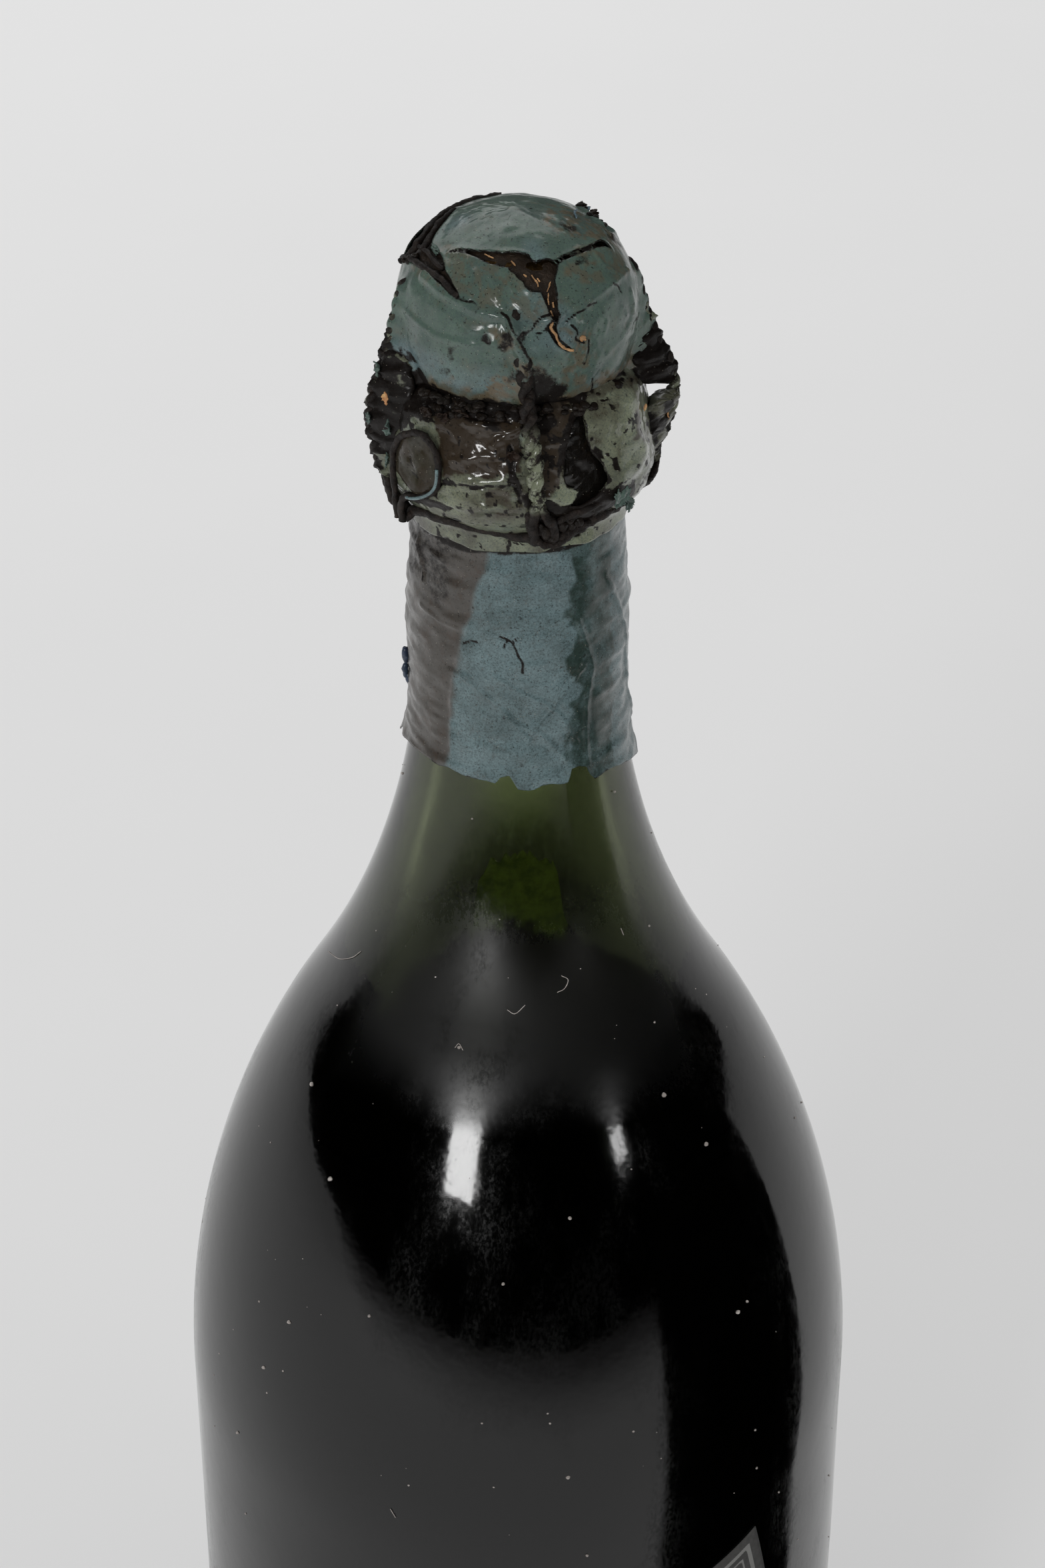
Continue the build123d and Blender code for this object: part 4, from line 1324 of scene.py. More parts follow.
class BOTTLE_OT_collar_foil(Operator):
    """Moulds the foil over the lip and collar, with browned lacquer and a patch broken away"""

    bl_idname = "bottle.collar_foil"
    bl_label = "Collar foil"

    def execute(self, context):
        look = context.scene.bottle_foil_look
        view = photo_view()
        outline = collar_outline()

        def ends(azimuths, steps):
            place = polar(13.0, azimuths, 0.0)
            return steps[-1] - 0.7 + 0.5 * noise(place, 3.0, 61, 2)

        skin = Skin(outline, 108, 430, ends)
        base = skin.base
        height = base[:, 2]
        camera_azimuth = skin.azimuth - PHOTO_AZIMUTH
        middle = ramp(height, 269.5, 272) * (1 - ramp(height, 283.5, 285.5))
        skin.lift += 0.25 * noise(base, 4.5, 62, 3) * middle
        skin.lift += 0.12 * noise(base * np.array([1, 1, 1.8]), 1.6, 63, 3) * middle
        # A full lobe right of the front leg that rises into the crease, and a hollow round the leg itself
        skin.lift += 0.9 * bump(camera_azimuth - 52, 24) * bump(height - 277.5, 6.0)
        skin.lift += 1.1 * bump(camera_azimuth - 58, 26) * bump(height - 284.0, 2.4)
        skin.lift -= 0.3 * bump(camera_azimuth + 22, 24) * bump(height - 281.5, 2.0)
        skin.lift -= 0.35 * bump(camera_azimuth - 12, 9) * middle
        for line, rise, width in COLLAR_RIDGES:
            away = skin.away(smooth_line(view.on_bottle(line), 6), 0.2, 1.5, 64)
            skin.lift += rise * bump(away, width)
        skin.tear(view.on_bottle(BLACK_PATCH), 0.2)
        skin.lift = np.maximum(skin.lift, -0.25)
        for line in COLLAR_SEAMS:
            away = skin.away(smooth_line(view.on_bottle(line), 6), 0.25, 0.8, 68)
            skin.lift -= 0.3 * bump(away, 0.22)
            skin.mark(0, bump(away, 0.2))
        # Browned lacquer, dirt and painted shade where the photograph shows them, and much the same behind
        ragged = noise(base, 2.6, 65, 4)
        for seed, (mark, strength, edge, stain) in enumerate(COLLAR_STAINS_AND_SHADE):
            skin.mark(mark, strength * view.share_in(base, stain, edge, 300 + 2 * seed))
        skin.mark(1, 0.3 + 0.4 * ragged)
        skin.mark(1, 0.8 * (ramp(np.abs(camera_azimuth), 85, 105) * ramp(ragged, -0.1, 0.35)))
        right = ramp(camera_azimuth, 18, 40) * (1 - ramp(camera_azimuth, 80, 100))
        crease = ramp(height + 1.3 * ragged - 3.6 * right, 281.6, 283.6)
        belt = np.interp(skin.azimuth % 360, *belt_heights())
        # Painted shade: darker in a band along the belt, except by the front leg, kept in the grime mark
        shade = bump(height + 0.5 * ragged - belt + 0.3, 0.55) * (1 - bump(camera_azimuth + 10, 14))
        spots = 0.8 * ramp(noise(base, 0.9, 66, 4), 0.5, 0.75)
        skin.mark(1, crease)
        for share in (crease * ramp(ragged + 0.3 * (height - 283), -0.2, 0.6), 0.8 * shade, spots):
            skin.mark(0, share)
        skin.lift += 0.3 * crease * noise(base, 1.6, 67, 3)
        material = foil_material("collar_foil_lacquer", look, look.green, look.blue, 0.1, 0.3)
        piece = skin.piece("collar_foil_moulded", material)
        thicken(piece, look.thickness)
        finish_piece(piece, "bottle", "foil", "collar_foil")
        # Black glaze that shows where the foil has broken away
        under = Skin(outline, 80, 300)
        under.lift += -0.42 + 0.14 * noise(under.base, 1.5, 69, 3)
        black = foil_material(
            "black_glaze", look, (0.006, 0.005, 0.004, 1.0), (0.004, 0.004, 0.004, 1.0), 0.1, 0.1)
        finish_piece(under.piece("collar_black_glaze", black), "bottle", "foil")
        return {"FINISHED"}


# Foil over the dome. Places are pixels of the photograph.
def head(*places):
    """Places given in a three times enlarged crop of the head, as pixels of the photograph."""
    return [(540 + x / 3, 280 + y / 3) for x, y in places]


CENTRAL_TEAR = head(
    (405, 293), (440, 282), (470, 281), (520, 290), (590, 292), (640, 300), (690, 297), (755, 310),
    (770, 335), (792, 348), (815, 332), (845, 330), (872, 340), (905, 320), (960, 298), (1010, 282),
    (1050, 262), (1080, 247), (1105, 258), (1128, 282), (1095, 270), (1060, 276), (1010, 294), (960, 310),
    (915, 330), (886, 352), (882, 385), (872, 420), (880, 462), (885, 500), (888, 545), (893, 575),
    (886, 600), (873, 605), (858, 575), (848, 540), (832, 505), (818, 475), (800, 470), (770, 468),
    (745, 450), (738, 425), (715, 412), (700, 390), (676, 380), (672, 362), (640, 360), (600, 350),
    (565, 335), (530, 315), (490, 298), (450, 290))
LEFT_TEAR = head(
    (205, 330), (200, 305), (230, 255), (272, 205), (325, 152), (378, 118), (425, 100), (440, 106),
    (392, 150), (345, 205), (322, 250), (330, 285), (365, 310), (378, 350), (385, 385), (402, 410),
    (418, 440), (440, 478), (446, 505), (415, 482), (380, 447), (345, 416), (310, 377), (270, 347),
    (235, 338))
HOOK_TEAR = head(
    (868, 605), (886, 602), (878, 628), (884, 655), (900, 690), (925, 712), (950, 730), (938, 738),
    (905, 722), (882, 700), (866, 672), (850, 650), (845, 632))
DOME_RIDGES = [
    # The wire square under the foil
    (head((285, 400), (360, 470), (440, 520), (520, 555), (600, 578), (660, 590), (700, 640)), 0.42, 0.5),
    (head((700, 640), (790, 620), (860, 590), (940, 560), (1010, 530), (1080, 480), (1140, 430), (1200, 380)),
     0.38, 0.5),
    (head((1000, 100), (1070, 150), (1140, 200)), 0.3, 0.5),
    # The second fold round the left
    (head((205, 560), (260, 620), (330, 665), (420, 700), (520, 715), (600, 700)), 0.2, 0.45),
    # The front leg under the foil
    (head((690, 625), (710, 700), (735, 780), (745, 850), (745, 930), (752, 1000)), 0.85, 0.62),
    (head((690, 640), (690, 680), (705, 740)), 0.3, 0.5),
    (head((1215, 480), (1225, 560), (1190, 660), (1120, 740)), 0.18, 0.5),
    # Small folds that catch the light
    (head((560, 300), (600, 340), (650, 400), (690, 460)), 0.14, 0.3),
    (head((480, 330), (520, 400), (570, 470), (640, 520)), 0.12, 0.3),
    (head((600, 420), (618, 455), (612, 490)), 0.16, 0.25),
    (head((705, 520), (730, 545), (770, 560)), 0.16, 0.25),
    (head((540, 790), (575, 810), (620, 805)), 0.14, 0.22),
    (head((470, 620), (510, 650), (575, 640)), 0.14, 0.25),
    (head((900, 330), (950, 390), (1000, 400)), 0.14, 0.3),
    (head((1060, 300), (1090, 350), (1150, 380)), 0.16, 0.3),
    (head((1080, 560), (1110, 600), (1100, 660)), 0.14, 0.25),
]
DOME_CRACKS = [
    head((640, 565), (670, 590), (690, 630), (705, 650)),
    head((710, 670), (722, 700), (745, 745), (770, 785)),
    head((855, 572), (820, 590), (790, 610), (776, 640)),
    head((865, 600), (840, 640), (815, 660), (795, 662)),
    head((730, 795), (745, 810)),
    head((930, 605), (965, 580), (1010, 548), (1060, 520)),
    head((445, 500), (480, 515), (515, 525)),
    head((1050, 865), (1045, 920), (1025, 960), (1005, 985)),
    head((1130, 440), (1160, 445), (1175, 475)),
    head((1030, 690), (1030, 740), (1015, 800)),
    head((955, 625), (975, 650), (972, 685), (1010, 700)),
]
DOME_GRIME = [
    # place, radius in millimetres, strength
    (head((790, 870))[0], 2.1, 0.55),
    (head((830, 930))[0], 2.6, 0.8),
    (head((860, 960))[0], 2.0, 0.8),
    (head((700, 860))[0], 1.2, 0.5),
    (head((655, 690))[0], 1.1, 0.6),
    (head((740, 645))[0], 0.7, 0.7),
    (head((580, 665))[0], 0.7, 0.5),
    (head((930, 180))[0], 1.4, 0.5),
    (head((1100, 150))[0], 2.4, 0.55),
    (head((1150, 230))[0], 2.2, 0.45),
    (head((1000, 350))[0], 1.1, 0.5),
    (head((400, 750))[0], 1.1, 0.45),
    (head((380, 830))[0], 1.0, 0.4),
    (head((760, 105))[0], 0.35, 0.9),
    (head((1240, 600))[0], 0.9, 0.6),
    (head((1250, 480))[0], 0.8, 0.5),
]


# Browned lacquer, dirt and painted shade on the cap
CAP_STAINS_AND_SHADE = [
    # Black between the left leg and the dome: dirt, and painted shade in the gap
    (0, 1.0, 6, [
        (573, 509), (587, 495), (599, 497), (608, 520), (625, 549), (646, 578), (641, 607),
        (552, 607), (552, 544)]),
    (0, 1.0, 7, [
        (941, 565), (959, 544), (967, 509), (986, 512), (1025, 565), (1009, 586), (973, 581)]),
    (1, 0.95, 9, [
        (746, 565), (767, 544), (799, 533), (825, 565), (815, 596), (794, 617), (752, 607),
        (709, 602)]),
    (0, 0.5, 12, [
        (794, 544), (815, 549), (857, 586), (836, 607), (804, 607), (786, 586)]),
    (1, 0.9, 8, [
        (731, 496), (767, 491), (783, 523), (752, 523)]),
    (1, 0.7, 9, [
        (836, 491), (883, 496), (888, 544), (883, 586), (857, 607), (825, 586), (857, 544)]),
    (1, 0.75, 10, [
        (815, 312), (867, 307), (920, 338), (952, 391), (899, 370), (857, 354), (825, 344)]),
    (1, 0.55, 9, [
        (857, 375), (920, 354), (959, 407), (888, 423), (841, 412)]),
    (1, 0.45, 12, [
        (609, 396), (678, 444), (752, 470), (815, 491), (846, 449), (815, 428), (741, 391),
        (694, 375), (652, 370)]),
]
# Places with fine folds that glint, and how high they stand
GLINTS = [
    (0.13, (728, 402), (757, 402), (762, 438), (736, 441)),
    (0.16, (715, 454), (767, 457), (773, 507), (720, 502)),
    (0.16, (715, 517), (778, 517), (783, 565), (720, 565)),
    (0.1, (783, 470), (899, 475), (909, 565), (815, 586)),
    (0.1, (688, 302), (762, 296), (767, 328), (694, 338)),
    (0.12, (931, 454), (967, 454), (967, 496), (936, 496)),
    (0.1, (836, 323), (909, 333), (920, 359), (846, 354)),
]


def leg_radius(height, leg):
    """Radius of a leg's middle line at heights."""
    line = smooth_line(LEG_LINES[leg], 8)
    return np.interp(height, line[::-1, 1], line[::-1, 0])


def leg_azimuth(leg, height):
    """Azimuth of a leg at heights. The front leg leans as it does in the photograph."""
    if leg == 0:
        heights, azimuths = np.array(FRONT_LEG_LEAN).T
        return np.interp(height, heights, azimuths)
    share = np.clip((np.asarray(height) - LEG_FOOT) / (LEG_TOP - LEG_FOOT), 0, 1)
    return LEG_AZIMUTHS[leg] + LEG_LEAN[leg] * share


class BOTTLE_OT_cap_foil(Operator):
    """Draws torn and creased foil over the cork's head, the plate and the tops of the legs"""

    bl_idname = "bottle.cap_foil"
    bl_label = "Cap foil"

    def execute(self, context):
        look = context.scene.bottle_foil_look
        view = photo_view()

        def ends(azimuths, steps):
            place = polar(13.0, azimuths, 0.0)
            return steps[-1] - 0.25 + 0.3 * noise(place, 2.0, 71, 2)

        skin = Skin(dome_outline(), 118, 394, ends)
        base = skin.base
        height = base[:, 2]
        skin.lift += 0.2 * noise(base, 6.0, 72, 2) + 0.07 * noise(base, 2.0, 73, 3)
        for line, rise, width in DOME_RIDGES:
            away = skin.away(smooth_line(view.on_bottle(line), 6), 0.15, 1.6, 74)
            skin.lift += rise * bump(away, width)
        for number, (rise, *outline) in enumerate(GLINTS):
            share = view.share_in(base, outline, 8, 370 + 2 * number)
            skin.lift += rise * share * noise(base, 1.1, 390 + number, 3, 0.6)
        self.back_creases(skin)
        # Foil stands out over each leg, and the twist shows through
        radius = radius_of(base)
        for leg in (1, 2, 3):
            away = np.radians(skin.azimuth - leg_azimuth(leg, height) + 180) % (2 * math.pi) - math.pi
            aside = np.abs(away) * radius
            out = np.clip(leg_radius(height, leg) + 0.95 - radius, 0, 6) * ramp(297.5 - height, 0, 2.0)
            twist = 0.14 * np.sin(2 * math.pi * height / 2.3 + leg) * ramp(296 - height, 0, 2)
            tent = np.clip(1 - aside / (1.0 + 0.75 * out + 0.4), 0, 1) ** 1.3
            skin.lift += (out + twist) * tent
            skin.mark(0, 1.1 * tent * ramp(290.0 + 1.5 * noise(base, 1.5, 75, 3) - height, 0, 3))
        for line in DOME_CRACKS:
            away = skin.away(smooth_line(view.on_bottle(line), 5), 0.1, 0.8, 76)
            skin.lift -= 0.12 * bump(away, 0.13)
            skin.mark(0, bump(away, 0.14))
        places = view.on_bottle([place for place, _, _ in DOME_GRIME])
        rough = roughened(base, 0.9, 1.3, 77, 2)
        for place, (_, size, strength) in zip(places, DOME_GRIME):
            away = np.linalg.norm(rough - place, axis=1)
            skin.mark(0, strength * (1 - ramp(away, 0.4 * size, 1.25 * size)))
        for outline in (CENTRAL_TEAR, LEFT_TEAR, HOOK_TEAR):
            skin.tear(view.on_bottle(outline), 0.16)
        ragged = noise(base, 1.4, 78, 3)
        for seed, (mark, strength, edge, outline) in enumerate(CAP_STAINS_AND_SHADE):
            share = strength * view.share_in(base, outline, edge, 340 + 2 * seed)
            if mark == 1 or strength < 1:
                share = share * ramp(noise(base, 0.9, 84, 4, 0.7), -0.4, 0.3)
            skin.mark(mark, share)
        skin.mark(1, ramp(287.8 + 1.6 * ragged - height, 0.0, 2.4))
        skin.mark(0, ramp(286.4 + 0.7 * ragged - height, 0.0, 1.2))
        skin.marks[:, 2] = ramp(noise(base, 7.0, 79, 2) + 0.06 * (292 - height), 0.0, 0.8)
        # The head's green, darker and bluer on the dome than on the collar: partly painted shade, since the
        # dome's top takes more light
        lacquer = tuple(np.multiply(look.green, (0.36, 0.52, 0.6, 1.0)))
        material = foil_material(
            "cap_foil_lacquer", look, lacquer, look.blue, 0.19, 0.45, (0.1, 0.077, 0.045, 1.0))
        piece = skin.piece("cap_foil_torn", material)
        merge_close(piece)
        thicken(piece, look.thickness)
        finish_piece(piece, "cage", "foil", "cap_foil")
        self.under_layer()
        return {"FINISHED"}

    def back_creases(self, skin):
        """Creases and cracks on the sides that the photograph doesn't show, like those that it does."""
        rng = np.random.default_rng(7)
        for k in range(9):
            azimuth = 110 + 160 * rng.random()
            top = 302.5 - 4 * rng.random()
            run = [polar(1.0, azimuth + 14 * rng.standard_normal() + 7 * j, top - 3.2 * j) for j in range(4)]
            heights = np.array([p[2] for p in run])
            outline = dome_outline()
            radii = np.interp(heights, outline[::-1, 1], outline[::-1, 0])
            line = np.array([[p[0] * r, p[1] * r, z] for p, r, z in zip(run, radii, heights)])
            away = skin.away(smooth_line(line, 6), 0.2, 1.6, 80)
            if k % 3 == 0:
                skin.lift -= 0.1 * bump(away, 0.13)
                skin.mark(0, bump(away, 0.16))
            else:
                skin.lift += 0.28 * bump(away, 0.5)

    def under_layer(self):
        """Blackened inner foil and dirt that shows through the tears."""
        outline = dome_outline()
        skin = Skin(outline[: int(len(outline) * 0.93)], 80, 300)
        skin.lift += -0.55 + 0.16 * noise(skin.base, 1.8, 81, 3)
        # Its golden glints are painted highlights
        material = grime_material("inner_foil_grime", (0.022, 0.015, 0.01, 1.0), 0.7)
        piece = skin.piece("cap_inner_foil", material)
        merge_close(piece)
        finish_piece(piece, "cage", "foil")


# Wire cage
HEAD_LUMPS = [
    (869, 309), (877, 315), (884, 322), (893, 327), (900, 332), (908, 338), (616, 387),
    (623, 383), (613, 392), (694, 607), (678, 622), (654, 611), (752, 622), (807, 612),
]
HEAD_LUMP_SIZES = [0.55, 0.5, 0.4, 0.45, 0.35, 0.35, 0.5, 0.45, 0.4, 0.6, 0.5, 0.7, 0.6, 0.5]


def strand_lines(leg, turns):
    """The two twisted strands of a leg, from the wire square down to the eye and hook."""
    line = smooth_line(LEG_LINES[leg], 24)
    steps = lengths(line)
    along = np.linspace(0, steps[-1], 190)
    radius = np.interp(along, steps, line[:, 0])
    height = np.interp(along, steps, line[:, 1])
    azimuth = leg_azimuth(leg, height)
    share = along / steps[-1]
    twist = 2 * math.pi * turns * np.minimum(share, 0.86) / 0.86
    apart = 0.42 + 0.7 * ramp(share, 0.87, 0.95)
    strands = []
    for side in (0, 1):
        angle = twist + math.pi * side
        aside = apart * np.cos(angle)
        out = 0.42 * np.sin(angle) * (1 - ramp(share, 0.85, 0.93))
        points = polar(radius + out, azimuth + np.degrees(aside / radius), height)
        # Hook round the belt
        sign = 1 if math.cos(2 * math.pi * turns + math.pi * side) > 0 else -1
        turn = math.degrees(sign * 1.12 / 15)
        bends = np.pi * np.arange(1, 9) / 8
        hook = polar(radius[-1] - 1.0 + np.cos(bends), azimuth[-1] + turn, height[-1] - 0.2 - np.sin(bends))
        strands.append(np.concatenate([points, hook]))
    return strands


def square_line(leg):
    """Wire over the brow of the cork's head, from the top of a leg to the top of the next."""
    first = leg_azimuth(leg, LEG_TOP)
    last = first + (leg_azimuth((leg + 1) % 4, LEG_TOP) - first) % 360
    azimuths = np.linspace(first, last, 40)
    rise = np.sin(math.pi * np.linspace(0, 1, 40))
    return polar(12.6 - 1.9 * rise, azimuths, LEG_TOP + 2.0 * rise)


def ring_line(*places):
    """Smooth line through places, each an azimuth, a radius and a height."""
    return smooth_line([polar(r, a, z) for a, r, z in places], 10)


def shell_line(places, lift, seed):
    """Smooth line over the outside of the bottle, lifted off it, through pixels of the photograph."""
    line = smooth_line(photo_view().on_bottle(places), 8)
    level = radius_of(line)[:, None]
    out = line[:, :2] / np.maximum(level, 1e-6) * np.minimum(level / 9, 1)
    out = np.concatenate([out, np.zeros((len(line), 1))], 1)
    out[:, 2] = np.where(line[:, 2] > 296, 0.25 + (line[:, 2] - 296) / 8, 0.1)
    out /= np.linalg.norm(out, axis=1)[:, None]
    return roughened(line + lift * out, 0.06, 0.8, seed)


class BOTTLE_OT_cage(Operator):
    """Twists the cage's four legs, lays its square over the brow and draws the belt and the pull loop"""

    bl_idname = "bottle.cage"
    bl_label = "Cage, belt and pull loop"

    def execute(self, context):
        look = context.scene.bottle_cage_look
        foil = context.scene.bottle_foil_look
        material = wire_material("rusted_wire", look, foil)
        radius = look.wire / MM
        for leg in range(4):
            parts = []
            for strand in strand_lines(leg, look.turns - 2 if leg == 0 else look.turns):
                coat = 1.5 if leg == 0 else 1.1
                parts.append(tube(strand, radius * coat * (1 + 0.22 * noise(strand, 0.8, 91 + leg, 2)), 10))
            parts.append(tube(square_line(leg), radius, 10))
            points, faces, _ = joined(parts)
            points = roughened(points, 0.12 if leg == 0 else 0.06, 0.6, 95)
            marks = unmarked(points)
            height = points[:, 2]
            if leg == 0:
                marks[:, 2] = ramp(height, 273.4, 274.8) * (1 - ramp(height, 281.0, 285.0))
            else:
                marks[:, 2] = 0.7 * ramp(noise(points, 3.0, 99, 1), 0.25, 0.5)
            piece = new_piece(f"cage_leg_{leg + 1}", points, faces, material, marks)
            finish_piece(piece, "cage", "wire", f"cage_wire_{leg + 1}")
        self.belt(look, material)
        self.loop(foil, material)
        self.loose_wires(material)
        return {"FINISHED"}

    def belt(self, look, material):
        """Belt round the neck, standing off at each leg, with two ends turned out to the loop."""
        rows = np.array(BELT_LINE)
        azimuths = np.linspace(rows[0, 0], rows[-1, 0], 260)
        radii, heights = (np.interp(azimuths, rows[:, 0], rows[:, k]) for k in (1, 2))
        line = polar(radii, azimuths, heights)
        kernel = np.ones(9) / 9
        for axis in range(3):
            line[4:-4, axis] = np.convolve(line[:, axis], kernel, "valid")
        tips = np.array([polar(15.5, STEM_AZIMUTH + 1.6, 268.9), polar(15.0, STEM_AZIMUTH + 1.9, 269.1)])
        ends = np.array([polar(15.0, STEM_AZIMUTH - 1.9, 269.1), polar(15.5, STEM_AZIMUTH - 1.6, 268.9)])
        line = roughened(np.concatenate([tips, line[2:-2], ends]), 0.12, 2.5, 101)
        turned = azimuth_of(line)
        heavy = 1.0 + 0.4 * ramp(turned, -12, 0) * (1 - ramp(turned, 38, 60)) + 0.15 * ramp(-turned, 30, 45)
        parts = [tube(line, look.belt / MM * heavy * (1.05 + 0.2 * noise(line, 0.9, 105, 2)), 12)]
        # Second wire and lump of dirt at the front
        second = ring_line(
            (3.0, 15.7, 271.6), (9.0, 15.8, 272.4), (18.0, 15.9, 273.0), (28.0, 15.8, 273.3),
            (38.0, 15.7, 273.4), (46.0, 15.4, 272.9))
        parts.append(tube(roughened(second, 0.12, 1.2, 106), 0.42 + 0.1 * noise(second, 0.6, 107, 2), 10))
        under = ring_line(
            (-6.5, 15.3, 273.6), (-6.8, 15.5, 272.0), (-5.0, 15.5, 270.4), (-1.0, 15.6, 269.2),
            (4.0, 15.5, 268.9), (9.0, 15.2, 269.3), (14.0, 15.0, 270.0), (22.0, 15.0, 270.6))
        parts.append(tube(roughened(under, 0.12, 1.0, 108), 0.45 + 0.1 * noise(under, 0.7, 109, 2), 10))
        points, faces, _ = joined(parts)
        points = roughened(points, 0.1, 0.6, 110)
        piece = new_piece("belt_ring", points, faces, material, unmarked(points))
        finish_piece(piece, "cage", "wire", "belt_wire")
        chance = np.random.default_rng(12)
        lump = [lump_mesh(polar(r, a, z), size, 111) for a, r, z, size in (
            (1.0, 15.3, 270.6, 1.0), (3.6, 15.4, 269.9, 0.7), (-2.6, 15.3, 271.2, 0.8),
            (7.5, 15.2, 271.2, 0.8))]
        for k in range(26):
            azimuth = 4 + 44 * chance.random()
            level = np.interp(azimuth, (0, 20, 48), (270.4, 271.8, 272.2))
            lump.append(lump_mesh(polar(15.1, azimuth, level + 0.9 * chance.uniform(-1, 1)),
                                  chance.uniform(0.3, 0.6), 112 + k))
        crease = []
        for k in range(46):
            azimuth = chance.uniform(-62, 45)
            place = polar(13.9 - 0.5 * chance.random(), azimuth, 284.9 + 0.8 * chance.uniform(-1, 1))
            crease.append(lump_mesh(place, chance.uniform(0.3, 0.75), 140 + k, 0.6))
        for k, (place, size) in enumerate(zip(photo_view().on_bottle(HEAD_LUMPS), HEAD_LUMP_SIZES)):
            (lump if k < 9 else crease).append(lump_mesh(place, size, 190 + k, 0.8))
        cake = grime_material("dirt_cake", (0.01, 0.007, 0.005, 1.0), 0.0, 0.22)
        # The crease's lumps stay on the bottle when the cage lifts
        for name, parts, body, slot in (
                ("dirt_lumps", lump, "cage", "wire"), ("crease_lumps", crease, "bottle", "foil")):
            points, faces, _ = joined(parts)
            finish_piece(new_piece(name, points, faces, cake), body, slot)

    def loop(self, foil, material):
        """Teardrop loop folded up against the collar, with a film of foil caught in it."""
        outline = smooth_line([
            (-0.45, 0.2), (-0.5, 2.4), (-0.55, 4.6), (-0.95, 7.2), (-0.8, 9.2), (0.6, 11.7), (2.7, 13.2),
            (4.8, 13.7), (6.4, 13.0), (7.5, 11.2), (7.8, 9.3), (7.4, 7.4), (6.1, 6.0), (4.1, 4.9),
            (1.9, 4.2), (0.9, 2.6), (0.45, 0.2)], 8) * 0.93

        def placed(flat, out=0.0):
            azimuth = STEM_AZIMUTH + np.degrees(flat[:, 0] / LOOP_REACH)
            lean = 0.35 * ramp(flat[:, 1], 0, 3) - 0.07 * np.maximum(0, flat[:, 1] - 8.5)
            return polar(LOOP_REACH - 0.4 + out + lean, azimuth, LOOP_FOOT + flat[:, 1])

        line = roughened(placed(outline), 0.1, 1.2, 121)
        verts, faces = tube(line, 0.4 * (1 + 0.16 * noise(line, 0.6, 125, 2)), 12)
        verts = roughened(verts, 0.07, 0.6, 126)
        piece = new_piece("pull_loop_wire", verts, faces, material, unmarked(verts))
        finish_piece(piece, "loop", "wire", "pull_loop")
        opening = outline[22:-22]
        middle = opening.mean(0)
        shares = np.linspace(0.02, 1.0, 22)
        points = np.concatenate([
            placed(middle + (opening - middle) * share, -0.3 + 0.35 * (1 - share**2)) for share in shares])
        drop = placed(np.array([[2.6, 9.0], [3.0, 7.8], [4.0, 7.0]]), 0.1)
        dent = line_distance(points, drop)
        points = roughened(points, 0.09, 1.3, 127)
        out = points * np.array([1, 1, 0])
        out /= np.linalg.norm(out, axis=1)[:, None]
        points -= 0.3 * bump(dent, 0.5)[:, None] * out
        marks = unmarked(points)
        marks[:, 1] = 0.45 + 0.5 * noise(points, 1.6, 128, 2)
        marks[:, 0] = 0.8 * bump(dent, 0.22)
        lacquer = foil_material("film_lacquer", foil, (0.03, 0.03, 0.017, 1.0), foil.varnish, 0.16, 0.9)
        film = new_piece("pull_loop_film", points, sleeve_faces(len(shares), len(opening)), lacquer, marks)
        thicken(film, 0.00015, 0)
        finish_piece(film, "loop", "foil")
        # Pale rolled edge of the film at the lower right
        edge = outline[int(len(outline) * 0.6): int(len(outline) * 0.86)]
        verts, faces = tube(placed(edge, 0.4), 0.2, 8)
        marks = unmarked(verts)
        marks[:, 2] = 1.0
        pale = foil_material("film_edge_lacquer", foil, (0.2, 0.3, 0.3, 1.0), foil.blue, 0.1)
        finish_piece(new_piece("pull_loop_film_edge", verts, faces, pale, marks), "loop", "foil")

    def loose_wires(self, material):
        """Wires that lie bare where the foil has torn at the upper left, and the bent hook at the right."""
        runs = [
            (head((640, 38), (560, 48), (480, 72), (425, 95), (380, 118), (335, 155), (300, 200), (268, 245),
                  (238, 290), (208, 322), (188, 333)), 0.0, 0.38),
            (head((420, 112), (392, 135), (365, 160), (340, 190), (318, 225), (300, 260), (285, 285)),
             0.05, 0.36),
            (head((190, 318), (225, 322), (262, 345), (300, 370), (340, 395), (372, 422), (405, 460),
                  (440, 498)), -0.05, 0.4),
            (head((265, 268), (295, 285), (320, 315), (345, 345), (372, 372)), -0.05, 0.3),
        ]
        parts = []
        for seed, (places, lift, radius) in enumerate(runs):
            line = shell_line(places, lift, 131 + seed)
            parts.append(tube(line, radius * (1 + 0.2 * noise(line, 0.8, 135 + seed, 2)), 10))
        stub = photo_view().on_plane([(618, 385), (612, 387), (606, 388), (600, 391)], LEFT_EDGE_AZIMUTH)
        stub = smooth_line(stub, 6)
        parts.append(tube(roughened(stub, 0.08, 0.6, 137), 0.3 + 0.08 * noise(stub, 0.5, 138, 2), 10))
        # Bent end of a hook that stands off at the lower right
        line = ring_line(
            (52.0, 14.9, 272.4), (60.0, 15.4, 271.6), (68.0, 15.9, 271.4), (75.0, 16.3, 272.2),
            (79.0, 16.5, 273.8), (81.0, 16.6, 275.6))
        parts.append(tube(roughened(line, 0.1, 1.0, 139), 0.4, 10))
        points, faces, _ = joined(parts)
        points = roughened(points, 0.08, 0.6, 140)
        piece = new_piece("cage_bare_wires", points, faces, material, unmarked(points))
        finish_piece(piece, "cage", "wire")


# Dirt, flakes and torn scraps
GLINT_STREAKS = [
    head((775, 395), (785, 412), (800, 432), (806, 450)), head((800, 408), (812, 424)),
    head((862, 425), (852, 450), (846, 470)), head((852, 478), (849, 505), (853, 530)),
    head((872, 520), (876, 545)), head((560, 300), (585, 312), (600, 318)), head((680, 330), (700, 352)),
    head((860, 560), (872, 585)), head((738, 390), (752, 402)),
]
FLAKE_BROWN = (0.02, 0.012, 0.008, 1.0)
FLAKE_AMBER = (0.5, 0.25, 0.11, 1.0)


